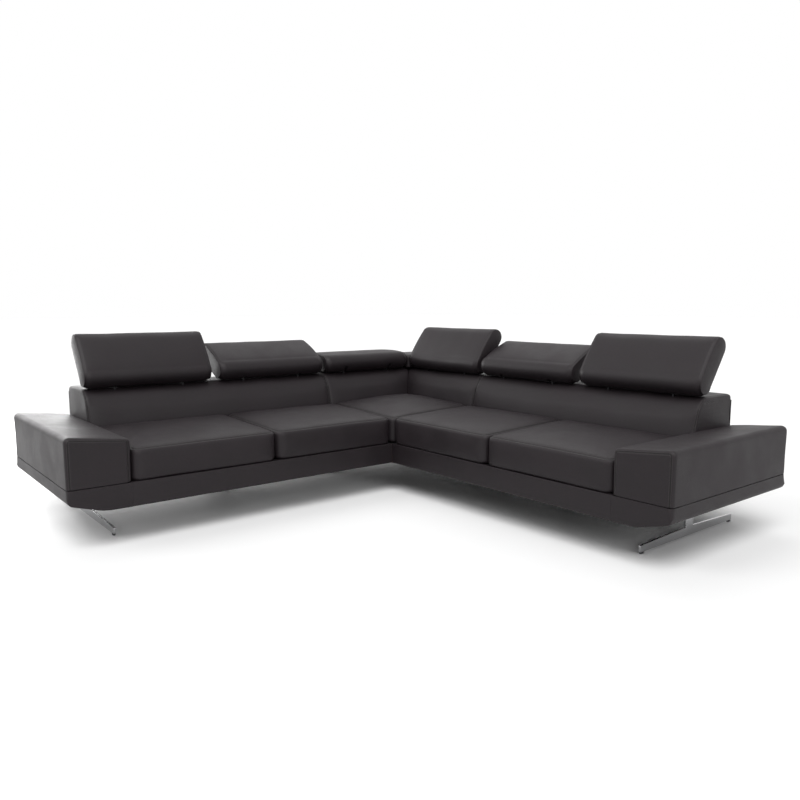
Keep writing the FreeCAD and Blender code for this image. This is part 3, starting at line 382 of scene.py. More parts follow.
def within_roll(piece):
    """Keep an upright headrest's foot and rear within the room that its swing has."""
    places = places_of(piece)
    radius = np.maximum(np.hypot(places[:, 1], places[:, 2]), 1e-6)
    share = np.where(places[:, 2] < 0, np.minimum(HEADREST_ROLL / radius, 1.0), 1.0)
    places[:, 1] *= share
    places[:, 2] *= share
    rear = HEADREST_REAR + (HEADREST_ROLL - HEADREST_REAR) * (1 - step(places[:, 2], -0.01, 0.03))
    places[:, 1] = np.minimum(places[:, 1], rear)
    set_places(piece, places)


def copy_of(piece, name):
    """Copy with its own mesh."""
    copy = piece.copy()
    copy.data = piece.data.copy()
    copy.name = name
    copy.data.name = name
    bpy.context.scene.collection.objects.link(copy)
    return copy


def swap_wing(piece):
    """Carry a right-wing piece over the corner's diagonal to the left wing."""
    piece.data.transform(Matrix(((0, -1, 0, DIAGONAL), (-1, 0, 0, DIAGONAL), (0, 0, 1, 0), (0, 0, 0, 1))))
    piece.data.flip_normals()


def finished(piece, node, body="sofa_frame"):
    """Padded piece that stands for its node."""
    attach(piece, body)
    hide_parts(node)
    UPHOLSTERY.append(piece)


# Seat cushions

def boxed_cushion(name, low, high, plan_radius, roll, foot_roll, voxel):
    """Cushion block with rounded corners and rolled edges, as an even net."""
    piece = block(name, low, high)
    round_edges(piece, along(2), plan_radius, 8)
    round_edges(piece, at(z=high[2]), roll, 5)
    round_edges(piece, at(z=low[2]), foot_roll, 4)
    even_out(piece, voxel)
    return piece


def seat(name, node, both_ways):
    """Seat cushion with a double stitched line round its top, rising to the back."""
    low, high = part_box(node)
    low = Vector((low.x, low.y, DECK))
    high = Vector((high.x, high.y, DECK + SEAT_FRONT_THICKNESS))
    piece = boxed_cushion(name, low, high, SEAT_CORNER_RADIUS, SEAT_EDGE_ROLL, SEAT_FOOT_ROLL,
                          CUSHION_NET)
    places = places_of(piece)
    inset, run = rounded_inset(places[:, 0], places[:, 1], low, high, SEAT_CORNER_RADIUS)
    distance = inset - SEAT_SEAM_INSET
    upper = step(places[:, 2], DECK + 0.09, DECK + 0.12)
    keep_seam(piece, distance, run, upper)
    hold = ridge(distance, 0.010) * upper
    hold = np.maximum(hold, resting(places, DECK))

    def rule(places):
        x = (places[:, 0] - low.x) / (high.x - low.x)
        y = (places[:, 1] - low.y) / (high.y - low.y)
        height = places[:, 2] - DECK
        rise = SEAT_REAR_RISE * (y + (1 - x) if both_ways else y)
        rise = np.minimum(rise, SEAT_REAR_RISE * 1.6)
        crown = SEAT_CROWN * np.sin(np.pi * np.clip(x, 0, 1)) ** 0.7
        crown = crown * np.sin(np.pi * np.clip(y, 0, 1)) ** 0.7
        share = np.clip(height / SEAT_FRONT_THICKNESS, 0, 1.2)
        placed = places.copy()
        placed[:, 0] = np.clip(places[:, 0], low.x - 0.0002, high.x + 0.0002)
        placed[:, 1] = np.clip(places[:, 1], low.y - SEAT_FRONT_ROOM, high.y + 0.0002)
        placed[:, 2] = np.maximum(DECK + 0.0005, places[:, 2] + share * (rise + crown))
        return placed

    puff_later(piece, hold, SEAT_PUFF, rule)
    return piece


right_seat = seat("seat_inner_right", "seat_cushion_inner_right", False)
corner_seat = seat("seat_corner", "seat_cushion_corner", True)


# Back cushions

def back_shape(name, node, mitred):
    """Back cushion with a leaning front and a wide round nose."""
    low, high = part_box(node)
    foot = low.z
    top = high.z
    front = high.y - BACK_DEPTH
    piece = block(name, (low.x, front, foot), (high.x, high.y, top))
    round_edges(piece, at(y=front, z=top), BACK_NOSE_RADIUS, 12)
    round_edges(piece, at(y=high.y, z=top), BACK_REAR_RADIUS, 4)
    if mitred:
        take(piece)
        bpy.ops.object.mode_set(mode="EDIT")
        bpy.ops.mesh.select_all(action="SELECT")
        bpy.ops.mesh.bisect(plane_co=(DIAGONAL - high.y, high.y, 0), plane_no=(-1, -1, 0),
                            use_fill=True, clear_outer=True)
        bpy.ops.object.mode_set(mode="OBJECT")
    even_out(piece, CUSHION_NET)
    places = places_of(piece)
    distance = (high.x - places[:, 0]) - BACK_SEAM_INSET
    if not mitred:
        distance = np.minimum(distance, (places[:, 0] - low.x) - BACK_SEAM_INSET)
    run = np.where(np.abs(places[:, 2] - top) < 0.03, places[:, 1], places[:, 2])
    keep_seam(piece, distance, run)
    hold = ridge(distance, 0.010)
    hold = np.maximum(hold, step(places[:, 1], high.y - 0.012, high.y - 0.004))
    hold = np.maximum(hold, resting(places, foot))
    hold = np.where(distance < 0, 1, hold)
    if mitred:
        across = places[:, 0] + places[:, 1] - DIAGONAL
        hold = np.maximum(hold, 1 - step(across, 0.004, 0.02))

    def rule(places):
        placed = places.copy()
        height = np.clip((places[:, 2] - foot) / (top - foot), 0, 1)
        depth = np.clip((high.y - places[:, 1]) / BACK_DEPTH, 0, 1)
        lean = BACK_LEAN * step(height, 0.25, 1.0)
        x = np.clip((places[:, 0] - low.x) / (high.x - low.x), 0, 1)
        if mitred:
            x = np.clip(0.5 + x / 2, 0, 1)
        swell = np.sin(np.pi * x) ** 0.6
        bulge = BACK_BULGE * swell * np.sin(np.pi * np.clip(height, 0.05, 0.95)) ** 0.8
        placed[:, 1] = places[:, 1] + depth * (lean - bulge)
        placed[:, 1] = np.minimum(placed[:, 1], high.y)
        if mitred:
            mitre = DIAGONAL - places[:, 1]
            near = 1 - np.clip((places[:, 0] - mitre) / (high.x - mitre), 0, 1)
            placed[:, 0] = places[:, 0] - (placed[:, 1] - places[:, 1]) * near
        placed[:, 0] = np.clip(placed[:, 0], low.x, high.x)
        placed[:, 2] = np.clip(places[:, 2], foot, top + 0.0008)
        return placed

    puff_later(piece, hold, BACK_PUFF, rule)
    return piece


right_back = back_shape("back_right", "back_cushion_right", False)
corner_back = back_shape("back_corner_right", "corner_back_cushion_right", True)


# Cushion on the corner of the backs

def post():
    """Square raised cushion behind the corner."""
    low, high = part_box("corner_post_cushion")
    top = (high.x, high.y, high.z - 0.003)
    piece = boxed_cushion("corner_post", low, top, POST_CORNER_RADIUS, POST_EDGE_ROLL, POST_FOOT_ROLL,
                          SMALL_NET)
    places = places_of(piece)
    inset, run = rounded_inset(places[:, 0], places[:, 1], low, high, POST_CORNER_RADIUS)
    distance = inset - SEAT_SEAM_INSET
    keep_seam(piece, distance, run)
    hold = ridge(distance, 0.008)
    hold = np.maximum(hold, resting(places, low.z))

    def rule(places):
        placed = places.copy()
        for axis in (0, 1):
            placed[:, axis] = np.clip(places[:, axis], low[axis], high[axis])
        placed[:, 2] = np.maximum(places[:, 2], low.z + 0.0005)
        return placed

    puff_later(piece, hold, SMALL_PUFF, rule)
    return piece


corner_post = post()


# Headrests, made upright over their hinge line and tilted at the end

def headrest_shape(name, width):
    """Headrest with round long edges, full faces, a fuller foot and domed sewn ends."""
    low = Vector((-width / 2, -HEADREST_RADIUS, -HEADREST_RADIUS))
    high = Vector((width / 2, HEADREST_RADIUS, HEADREST_REACH + HEADREST_RADIUS))
    piece = block(name, low, high)
    round_edges(piece, along(0), HEADREST_RADIUS - 0.0002, 10)
    even_out(piece, SMALL_NET)
    places = places_of(piece)
    distance = np.minimum(places[:, 0] - low.x, high.x - places[:, 0]) - HEADREST_SEAM_INSET
    run = np.where(np.abs(places[:, 1]) < 0.048, places[:, 1], places[:, 2])
    keep_seam(piece, distance, run)
    hold = np.where(distance < 0.002, 1, ridge(distance, 0.008))

    def rule(places):
        placed = places.copy()
        share = np.clip((places[:, 2] + HEADREST_RADIUS) / (HEADREST_REACH + 2 * HEADREST_RADIUS), 0, 1)
        curve = np.sin(np.pi * share)
        front = step(-places[:, 1], 0.0, 0.045)
        rear = step(places[:, 1], 0.0, 0.045)
        placed[:, 1] = places[:, 1] - HEADREST_FRONT_BULGE * curve * front
        placed[:, 1] = placed[:, 1] + HEADREST_REAR_BULGE * curve * rear
        end = step(np.minimum(places[:, 0] - low.x, high.x - places[:, 0]), 0.004, 0.03)
        radius = np.maximum(np.hypot(placed[:, 1], placed[:, 2]), 1e-6)
        roll = HEADREST_RADIUS + (HEADREST_ROLL - HEADREST_RADIUS) * end
        lower = (1 - step(placed[:, 2], -0.01, 0.03)) * (radius > 0.04)
        growth = np.maximum(roll / radius, 1.0)
        for axis in (1, 2):
            placed[:, axis] *= 1 + lower * (growth - 1)
        placed[:, 1] = np.minimum(placed[:, 1], HEADREST_REAR + (HEADREST_ROLL - HEADREST_REAR) * lower)
        middle = np.hypot(places[:, 1], places[:, 2] - np.clip(places[:, 2], 0, HEADREST_REACH))
        dome = HEADREST_END_SWELL * (1 - np.clip(middle / HEADREST_RADIUS, 0, 1) ** 2)
        side = np.sign(places[:, 0]) * step(np.abs(places[:, 0]), width / 2 - 0.004, width / 2 - 0.001)
        placed[:, 0] = np.clip(places[:, 0], low.x, high.x) + side * dome
        return placed

    puff_later(piece, hold, SMALL_PUFF, rule)
    return piece


wide_headrest = headrest_shape("headrest_wide", HEADREST_WIDE)
short_headrest = headrest_shape("headrest_short", HEADREST_SHORT)

puff_up()


# Finish of the simulated pads, and their copies

for pad in (right_seat, corner_seat, right_back, corner_back, corner_post, wide_headrest, short_headrest):
    finer(pad)
    pull_in(pad, SEAM_SINK)
    smooth(pad)


def shifted(piece, name, distance):
    """Copy along the right wing."""
    copy = copy_of(piece, name)
    copy.data.transform(Matrix.Translation((distance, 0, 0)))
    return copy


seat_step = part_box("seat_cushion_outer_right")[0].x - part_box("seat_cushion_inner_right")[0].x
outer_right = shifted(right_seat, "seat_outer_right", seat_step)
inner_left = copy_of(right_seat, "seat_inner_left")
outer_left = copy_of(outer_right, "seat_outer_left")
for number, piece in enumerate((right_seat, outer_right, inner_left, outer_left, corner_seat)):
    loosen(piece, 0.0022, 7.0, number + 1)
for piece in (inner_left, outer_left):
    swap_wing(piece)
finished(right_seat, "seat_cushion_inner_right")
finished(outer_right, "seat_cushion_outer_right")
finished(inner_left, "seat_cushion_inner_left")
finished(outer_left, "seat_cushion_outer_left")
finished(corner_seat, "seat_cushion_corner")

back_left = copy_of(right_back, "back_left")
corner_back_left = copy_of(corner_back, "back_corner_left")
for number, piece in enumerate((right_back, back_left, corner_back, corner_back_left)):
    loosen(piece, 0.0018, 6.0, number + 11)
    clear_of_roll(piece)
swap_wing(back_left)
swap_wing(corner_back_left)
finished(right_back, "back_cushion_right")
finished(back_left, "back_cushion_left")
finished(corner_back, "corner_back_cushion_right")
finished(corner_back_left, "corner_back_cushion_left")
finished(corner_post, "corner_post_cushion")


def swing_side(tilt, turn):
    """Two corners of a hinge's room, beside the fixed blade as it stands at one tilt."""
    down = (-math.cos(math.radians(tilt)), -math.sin(math.radians(tilt)))
    side = (turn * down[1] * HINGE_SIDE, -turn * down[0] * HINGE_SIDE)
    return side, (side[0] + HINGE_REACH * down[0], side[1] + HINGE_REACH * down[1])


def hinge_hollow(name, x):
    """Wedge that leaves room in an upright headrest for one hinge over its whole swing."""
    corners = [(HINGE_SIDE, 0.012), (0, HINGE_SIDE)]
    corners.extend(swing_side(TILT_RAISED, 1))
    corners.append(swing_side(TILT_FOLDED, -1)[1])
    deselect()
    bpy.ops.mesh.primitive_circle_add(vertices=len(corners), radius=HINGE_SIDE, fill_type="NGON")
    cutter = bpy.context.active_object
    cutter.name = name
    for vertex, (up, forward) in zip(cutter.data.vertices, corners):
        vertex.co = (x - HINGE_ROOM, -forward, up)
    bpy.ops.object.mode_set(mode="EDIT")
    bpy.ops.mesh.select_all(action="SELECT")
    bpy.ops.mesh.extrude_region_move(TRANSFORM_OT_translate={"value": (2 * HINGE_ROOM, 0, 0)})
    bpy.ops.mesh.select_all(action="SELECT")
    bpy.ops.mesh.normals_make_consistent(inside=False)
    bpy.ops.object.mode_set(mode="OBJECT")
    return cutter


def carve(piece, cutter):
    """Take a cutter's shape out of a piece."""
    take(piece)
    modifier = piece.modifiers.new("carve", "BOOLEAN")
    modifier.operation = "DIFFERENCE"
    modifier.solver = "EXACT"
    modifier.object = cutter
    bpy.ops.object.modifier_apply(modifier=modifier.name)
    bpy.data.objects.remove(cutter)


def headrest(name, pattern, seed):
    """Headrest in its place on the wing, at its tilt in the photograph."""
    node = "headrest_cushion_" + name
    low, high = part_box(node)
    left = "left" in name
    start, end = low.x, high.x
    if left:
        start, end = DIAGONAL - high.y, DIAGONAL - low.y
    piece = copy_of(pattern, "headrest_" + name)
    loosen(piece, 0.0015, 8.0, seed)
    within_roll(piece)
    for number, share in enumerate((-HINGE_SPREAD, HINGE_SPREAD)):
        carve(piece, hinge_hollow("hollow_%s_%d" % (name, number), share * (end - start)))
    turn = Matrix.Rotation(-math.radians(TILTS[name]), 4, "X")
    place = Matrix.Translation(((start + end) / 2, PIVOT_Y, PIVOT_Z))
    piece.data.transform(place @ turn)
    if left:
        swap_wing(piece)
    smooth(piece)
    finished(piece, node, "headrest_" + name)


headrest("right_outer", wide_headrest, 21)
headrest("right_inner", wide_headrest, 22)
headrest("left_outer", wide_headrest, 23)
headrest("left_inner", wide_headrest, 24)
headrest("corner_right", short_headrest, 25)
headrest("corner_left", short_headrest, 26)
bpy.data.objects.remove(wide_headrest)
bpy.data.objects.remove(short_headrest)


# Arms

def arm_pad():
    """Upper padded box of the arm, its top sloping down to the seat."""
    low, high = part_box("arm_pad_right")
    low = Vector((low.x, low.y, DECK + COVER_GAP))
    high = Vector((high.x, high.y, DECK + ARM_HEIGHT_OUTSIDE))
    piece = block("arm_pad_right_skin", low, high)
    round_edges(piece, at(x=high.x, z=high.z), ARM_OUTER_RADIUS, 8)
    round_edges(piece, at(x=low.x, z=high.z), ARM_EDGE_RADIUS, 7)
    for end in (low.y, high.y):
        round_edges(piece, lambda a, b: same(a[1], b[1], end) and not same(a[2], b[2], low.z),
                    ARM_EDGE_RADIUS, 7)
    round_edges(piece, at(z=low.z), ARM_SEAM_RADIUS, 3)
    for axis, spacing in ((0, 0.025), (1, 0.03), (2, 0.025)):
        slice_evenly(piece, axis, spacing)
    places = places_of(piece)
    inset, run = rounded_inset(places[:, 0], places[:, 2], (low.x, low.z - 0.05), (high.x, high.z), 0.024)
    half = (high.y - low.y) / 2
    faces = step(np.abs(places[:, 1] - (low.y + high.y) / 2), half - 0.02, half - 0.008)
    keep_seam(piece, inset - ARM_SEAM_INSET, run, faces)

    def rule(places):
        placed = places.copy()
        x = np.clip((places[:, 0] - low.x) / (high.x - low.x), 0, 1)
        y = np.clip((places[:, 1] - low.y) / (high.y - low.y), 0, 1)
        height = (places[:, 2] - DECK) / ARM_HEIGHT_OUTSIDE
        top = ARM_HEIGHT_INSIDE + (ARM_HEIGHT_OUTSIDE - ARM_HEIGHT_INSIDE) * x
        full = ARM_FULLNESS * np.sin(np.pi * x) * np.sin(np.pi * y) ** 0.5
        placed[:, 2] = DECK + height * (top + full)
        return placed

    bend_places(piece, rule)
    finer(piece)
    pull_in(piece, ARM_SEAM_SINK)
    loosen(piece, 0.0012, 9.0, 31)
    smooth(piece)
    return piece


def arm_band():
    """Lower part of the arm, whose underside rises outwards."""
    low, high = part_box("arm_band_right")
    piece = block("arm_band_right_skin", low, (high.x, high.y, DECK - COVER_GAP))
    take(piece)
    slope = math.radians(KEEL_SLOPE)
    bpy.ops.object.mode_set(mode="EDIT")
    bpy.ops.mesh.select_all(action="SELECT")
    bpy.ops.mesh.bisect(plane_co=(KEEL_PLACE, 0, low.z), plane_no=(math.sin(slope), 0, -math.cos(slope)),
                        use_fill=True, clear_outer=True)
    bpy.ops.object.mode_set(mode="OBJECT")
    outer = max(v.co.z for v in piece.data.vertices if same(v.co.x, high.x) and v.co.z < DECK - 0.01)
    round_edges(piece, at(x=high.x, z=outer), BAND_RADIUS, 7)
    round_edges(piece, at(x=KEEL_PLACE, z=low.z), KEEL_RADIUS, 5)
    for end in (low.y, high.y):
        round_edges(piece, at(x=high.x, y=end), BAND_RADIUS, 7)
    for end in (low.y, high.y):
        round_edges(piece, lambda a, b: same(a[1], b[1], end) and max(a[2], b[2]) < DECK - 0.002
                    and not same(a[0], b[0]), BAND_FOOT_RADIUS, 3)
    for axis in (0, 1):
        slice_evenly(piece, axis, BAND_NET)
    smooth(piece, SHARP_ANGLE)
    return piece


pad_right = arm_pad()
pad_left = copy_of(pad_right, "arm_pad_left_skin")
swap_wing(pad_left)
finished(pad_right, "arm_pad_right")
finished(pad_left, "arm_pad_left")
band_right = arm_band()
band_left = copy_of(band_right, "arm_band_left_skin")
swap_wing(band_left)
finished(band_right, "arm_band_right")
finished(band_left, "arm_band_left")


# Plinths

def plinth():
    """Thin padded cover in front of the base."""
    low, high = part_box("plinth_cover_right")
    piece = block("plinth_right_skin", low, high)
    round_edges(piece, at(y=low.y, z=low.z), PLINTH_FOOT_RADIUS, 5)
    round_edges(piece, at(y=low.y, z=high.z), PLINTH_TOP_RADIUS, 5)
    for axis in (0, 2):
        slice_evenly(piece, axis, PLINTH_NET)
    smooth(piece, SHARP_ANGLE)
    return piece


plinth_right = plinth()
plinth_left = copy_of(plinth_right, "plinth_left_skin")
swap_wing(plinth_left)
finished(plinth_right, "plinth_cover_right")
finished(plinth_left, "plinth_cover_left")


# Materials

LEATHER_COLOUR = (0.0125, 0.0090, 0.0108, 1)
# Darker colour on the seam lines: painted shade of their grooves
PAINTED_SEAM_SHADE = (0.006, 0.005, 0.005, 1)
THREAD_COLOUR = (0.045, 0.040, 0.041, 1)
# Near-black painted on the frame tops: painted shade in the gaps between the cushions
PAINTED_SHADE_COLOUR = (0.006, 0.006, 0.006, 1)
SEAM_LINE = 0.0030
STITCH_LENGTH = 0.0062
STITCH_PLACE = 0.0042
SECOND_LINE = 0.013
# Height above which the frame wood carries that painted shade; the other value lies above the whole
# frame, so no shade is painted
PAINTED_SHADE_START = 0.2744
NO_PAINTED_SHADE = 9.0


class Nodes:
    """Short way to add linked nodes to a tree."""

    def __init__(self, tree):
        self.tree = tree

    def add(self, kind, inputs=None, **settings):
        node = self.tree.nodes.new(kind)
        for name, value in settings.items():
            setattr(node, name, value)
        for name, value in (inputs or {}).items():
            socket = node.inputs[name]
            if isinstance(value, bpy.types.NodeSocket):
                self.tree.links.new(value, socket)
            else:
                socket.default_value = value
        return node

    def math(self, operation, first, second=0.0, third=None):
        inputs = {0: first, 1: second}
        if third is not None:
            inputs[2] = third
        return self.add("ShaderNodeMath", inputs, operation=operation).outputs[0]

    def fade(self, value, low, high, start=0.0, end=1.0):
        """Smooth change from start at low to end at high."""
        return self.add("ShaderNodeMapRange", {"Value": value, "From Min": low, "From Max": high,
                                               "To Min": start, "To Max": end},
                        interpolation_type="SMOOTHSTEP").outputs["Result"]

    def mix(self, share, first, second, blend="MIX"):
        node = self.add("ShaderNodeMix", {"Factor": share}, data_type="RGBA", blend_type=blend)
        for socket, value in zip((node.inputs[6], node.inputs[7]), (first, second)):
            if isinstance(value, bpy.types.NodeSocket):
                self.tree.links.new(value, socket)
            else:
                socket.default_value = value
        return node.outputs[2]

    def noise(self, vector, scale, detail=2.0, roughness=0.5):
        return self.add("ShaderNodeTexNoise", {"Vector": vector, "Scale": scale, "Detail": detail,
                                               "Roughness": roughness}).outputs["Fac"]


def new_group(name, inputs, outputs):
    """Empty shader group with named sockets."""
    tree = bpy.data.node_groups.new(name, "ShaderNodeTree")
    for label, kind, value in inputs:
        socket = tree.interface.new_socket(label, in_out="INPUT", socket_type=kind)
        socket.default_value = value
    for label, kind in outputs:
        tree.interface.new_socket(label, in_out="OUTPUT", socket_type=kind)
    make = Nodes(tree)
    return tree, make, make.add("NodeGroupInput"), make.add("NodeGroupOutput")


def hide_group():
    """Pebbled grain whose creases are darkened as painted shade, with slow mottling of colour and
    roughness; height in metres.
    """
    tree, make, ins, outs = new_group("hide_grain", [
        ("Colour", "NodeSocketColor", LEATHER_COLOUR),
        ("Pebble", "NodeSocketFloat", 480.0),
        ("Depth", "NodeSocketFloat", 0.00006),
        ("Roughness", "NodeSocketFloat", 0.50)],
        [("Color", "NodeSocketColor"), ("Roughness", "NodeSocketFloat"), ("Height", "NodeSocketFloat")])
    place = make.add("ShaderNodeTexCoord").outputs["Object"]
    wander = make.add("ShaderNodeTexNoise", {"Vector": place, "Scale": 90.0, "Detail": 2.0})
    moved = make.add("ShaderNodeVectorMath", {0: wander.outputs["Color"], 1: (0.004, 0.004, 0.004)},
                     operation="MULTIPLY").outputs[0]
    moved = make.add("ShaderNodeVectorMath", {0: place, 1: moved}, operation="ADD").outputs[0]
    cells = make.add("ShaderNodeTexVoronoi", {"Vector": moved, "Scale": ins.outputs["Pebble"]},
                     feature="DISTANCE_TO_EDGE").outputs["Distance"]
    pebble = make.fade(cells, 0.0, 0.22)
    fine = make.noise(place, 1400.0, 2.0)
    soft = make.noise(place, 110.0, 3.0)
    slow = make.noise(place, 7.0, 3.0)
    height = make.math("MULTIPLY", pebble, ins.outputs["Depth"])
    height = make.math("MULTIPLY_ADD", fine, 0.00002, height)
    height = make.math("MULTIPLY_ADD", soft, 0.00035, height)
    shade = make.fade(slow, 0.3, 0.7, 0.90, 1.12)
    # Pebble creases darker than the tops: painted shade in the grain's hollows
    shade = make.math("MULTIPLY", shade, make.fade(pebble, 0.0, 1.0, 0.80, 1.04))
    shade = make.math("MULTIPLY", shade, make.fade(soft, 0.3, 0.7, 0.95, 1.05))
    tone = make.add("ShaderNodeCombineColor", {0: shade, 1: shade, 2: shade}).outputs[0]
    colour = make.mix(1.0, ins.outputs["Colour"], tone, "MULTIPLY")
    rough = make.math("ADD", ins.outputs["Roughness"], make.fade(slow, 0.3, 0.7, -0.03, 0.05))
    rough = make.math("ADD", rough, make.fade(pebble, 0.0, 1.0, 0.08, 0.0))
    for name, value in (("Color", colour), ("Roughness", rough), ("Height", height)):
        tree.links.new(value, outs.inputs[name])
    return tree


def sewing_group():
    """Seam with stitches beside it and a second stitched line, from the stored seam, whose lines the
    leather darkens as painted shade of their grooves; height in metres.
    """
    tree, make, ins, outs = new_group("sewing", [
        ("Second", "NodeSocketFloat", SECOND_LINE), ("Second weight", "NodeSocketFloat", 0.0)],
        [("Line", "NodeSocketFloat"), ("Thread", "NodeSocketFloat"), ("Height", "NodeSocketFloat")])
    seam = make.add("ShaderNodeAttribute", attribute_name="seam").outputs["Vector"]
    parts = make.add("ShaderNodeSeparateXYZ", {0: seam})
    gap = make.math("ABSOLUTE", parts.outputs[0])
    run = parts.outputs[1]
    here = parts.outputs[2]
    line = make.fade(gap, 0.0008, SEAM_LINE, 1.0, 0.0)
    other = make.math("ABSOLUTE", make.math("SUBTRACT", parts.outputs[0], ins.outputs["Second"]))
    second = make.math("MULTIPLY", make.fade(other, 0.0008, SEAM_LINE, 1.0, 0.0),
                       ins.outputs["Second weight"])
    along_run = make.math("FRACT", make.math("DIVIDE", run, STITCH_LENGTH))
    dash = make.math("MULTIPLY", make.fade(along_run, 0.08, 0.2),
                     make.fade(along_run, 0.74, 0.86, 1.0, 0.0))
    near = make.math("ABSOLUTE", make.math("SUBTRACT", gap, STITCH_PLACE))
    thread = make.fade(near, 0.0003, 0.0008, 1.0, 0.0)
    thread = make.math("ADD", thread, make.math("MULTIPLY", make.fade(other, 0.0004, 0.0009, 1.0, 0.0),
                                                ins.outputs["Second weight"]))
    thread = make.math("MULTIPLY", make.math("MULTIPLY", thread, dash), here)
    lines = make.math("MULTIPLY", make.math("MAXIMUM", line, second), here)
    pucker = make.math("SINE", make.math("MULTIPLY", run, 300.0))
    pull = make.math("MULTIPLY", make.fade(gap, 0.001, 0.016, 1.0, 0.0), here)
    height = make.math("MULTIPLY", lines, -0.0012)
    height = make.math("MULTIPLY_ADD", thread, 0.0004, height)
    height = make.math("ADD", height, make.math("MULTIPLY", make.math("MULTIPLY", pucker, pull), 0.00016))
    for name, value in (("Line", lines), ("Thread", thread), ("Height", height)):
        tree.links.new(value, outs.inputs[name])
    return tree


HIDE = hide_group()
SEWING = sewing_group()


def new_material(name):
    """Material with its shader and node helper."""
    material = bpy.data.materials.new(name)
    material.use_nodes = True
    make = Nodes(material.node_tree)
    shader = material.node_tree.nodes["Principled BSDF"]
    return material, make, shader


def use_group(make, group, **values):
    """Group node with its own values."""
    node = make.add("ShaderNodeGroup")
    node.node_tree = group
    for name, value in values.items():
        node.inputs[name.replace("_", " ")].default_value = value
    return node


def bump(make, shader, height):
    """Feed a height in metres to a shader's normal."""
    node = make.add("ShaderNodeBump", {"Strength": 1.0, "Distance": 1.0, "Height": height})
    make.tree.links.new(node.outputs["Normal"], shader.inputs["Normal"])


def leather(name, second=0.0, sewn=True):
    """Satin brown-black leather, sewn along the stored seam, with painted shade darkening the seam lines.
    """
    material, make, shader = new_material(name)
    hide = use_group(make, HIDE)
    colour = hide.outputs["Color"]
    height = hide.outputs["Height"]
    if sewn:
        sewing = use_group(make, SEWING, Second_weight=second)
        # Seam lines darkened: painted shade in the sunken grooves
        colour = make.mix(sewing.outputs["Line"], colour, PAINTED_SEAM_SHADE)
        colour = make.mix(sewing.outputs["Thread"], colour, THREAD_COLOUR)
        height = make.math("ADD", height, sewing.outputs["Height"])
    make.tree.links.new(colour, shader.inputs["Base Color"])
    make.tree.links.new(hide.outputs["Roughness"], shader.inputs["Roughness"])
    shader.inputs["Specular IOR Level"].default_value = 0.26
    shader.inputs["Coat Weight"].default_value = 0.03
    shader.inputs["Coat Roughness"].default_value = 0.28
    bump(make, shader, height)
    return material


def steel(name, colour, roughness, stretch, streak):
    """Metal with fine streaks along one way."""
    material, make, shader = new_material(name)
    place = make.add("ShaderNodeTexCoord").outputs["Object"]
    run = make.add("ShaderNodeMapping", {"Vector": place, "Scale": stretch}).outputs[0]
    lines = make.noise(run, 1.0, 4.0, 0.6)
    smudge = make.noise(place, 18.0, 3.0)
    tone = make.mix(make.fade(lines, 0.3, 0.7), tuple(0.86 * c for c in colour[:3]) + (1,), colour)
    make.tree.links.new(tone, shader.inputs["Base Color"])
    rough = make.math("ADD", make.fade(lines, 0.3, 0.7, roughness, roughness + streak),
                      make.fade(smudge, 0.4, 0.7, 0.0, 0.05))
    make.tree.links.new(rough, shader.inputs["Roughness"])
    shader.inputs["Metallic"].default_value = 1.0
    bump(make, shader, make.math("MULTIPLY", lines, 0.00001))
    return material


def timber(name, light, dark, stretch, painted_shade_height=NO_PAINTED_SHADE):
    """Sawn wood with its grain along the boards, painted near-black above a height as painted shade on
    the frame tops that show between the cushions.
    """
    material, make, shader = new_material(name)
    place = make.add("ShaderNodeTexCoord").outputs["Object"]
    run = make.add("ShaderNodeMapping", {"Vector": place, "Scale": stretch}).outputs[0]
    rings = make.noise(run, 1.0, 5.0, 0.6)
    pores = make.noise(run, 9.0, 3.0, 0.7)
    share = make.math("MULTIPLY", make.fade(rings, 0.35, 0.65), 0.8)
    share = make.math("ADD", share, make.math("MULTIPLY", make.fade(pores, 0.5, 0.8), 0.25))
    height = make.add("ShaderNodeSeparateXYZ", {0: place}).outputs[2]
    # Above the given height the wood turns near-black: painted shade where the frame shows in gaps
    painted_shade_share = make.fade(height, painted_shade_height - 0.0008, painted_shade_height)
    wood = make.mix(share, light, dark)
    make.tree.links.new(make.mix(painted_shade_share, wood, PAINTED_SHADE_COLOUR), shader.inputs["Base Color"])
    make.tree.links.new(make.fade(pores, 0.3, 0.8, 0.55, 0.75), shader.inputs["Roughness"])
    bump(make, shader, make.math("MULTIPLY", pores, 0.0001))
    return material


def woven(name, colour, other, pitch, depth):
    """Woven or felted cloth, threads over and under."""
    material, make, shader = new_material(name)
    place = make.add("ShaderNodeTexCoord").outputs["Object"]
    parts = make.add("ShaderNodeSeparateXYZ", {0: place})
    one = make.math("SINE", make.math("MULTIPLY", parts.outputs[0], pitch))
    two = make.math("SINE", make.math("MULTIPLY", parts.outputs[1], pitch))
    weave = make.fade(make.math("MULTIPLY", one, two), -1.0, 1.0)
    fuzz = make.noise(place, 600.0, 3.0)
    share = make.math("MULTIPLY", weave, make.fade(fuzz, 0.3, 0.7, 0.6, 1.0))
    make.tree.links.new(make.mix(share, colour, other), shader.inputs["Base Color"])
    make.tree.links.new(make.fade(fuzz, 0.2, 0.8, 0.8, 0.95), shader.inputs["Roughness"])
    bump(make, shader, make.math("MULTIPLY", share, depth))
    return material


def plastic(name, colour):
    """Moulded plastic with a fine eroded skin."""
    material, make, shader = new_material(name)
    place = make.add("ShaderNodeTexCoord").outputs["Object"]
    skin = make.noise(place, 900.0, 3.0)
    cloud = make.noise(place, 14.0, 2.0)
    light = tuple(1.3 * c for c in colour[:3]) + (1,)
    make.tree.links.new(make.mix(make.fade(cloud, 0.3, 0.7), colour, light), shader.inputs["Base Color"])
    make.tree.links.new(make.fade(skin, 0.3, 0.7, 0.42, 0.58), shader.inputs["Roughness"])
    bump(make, shader, make.math("MULTIPLY", skin, 0.00004))
    return material


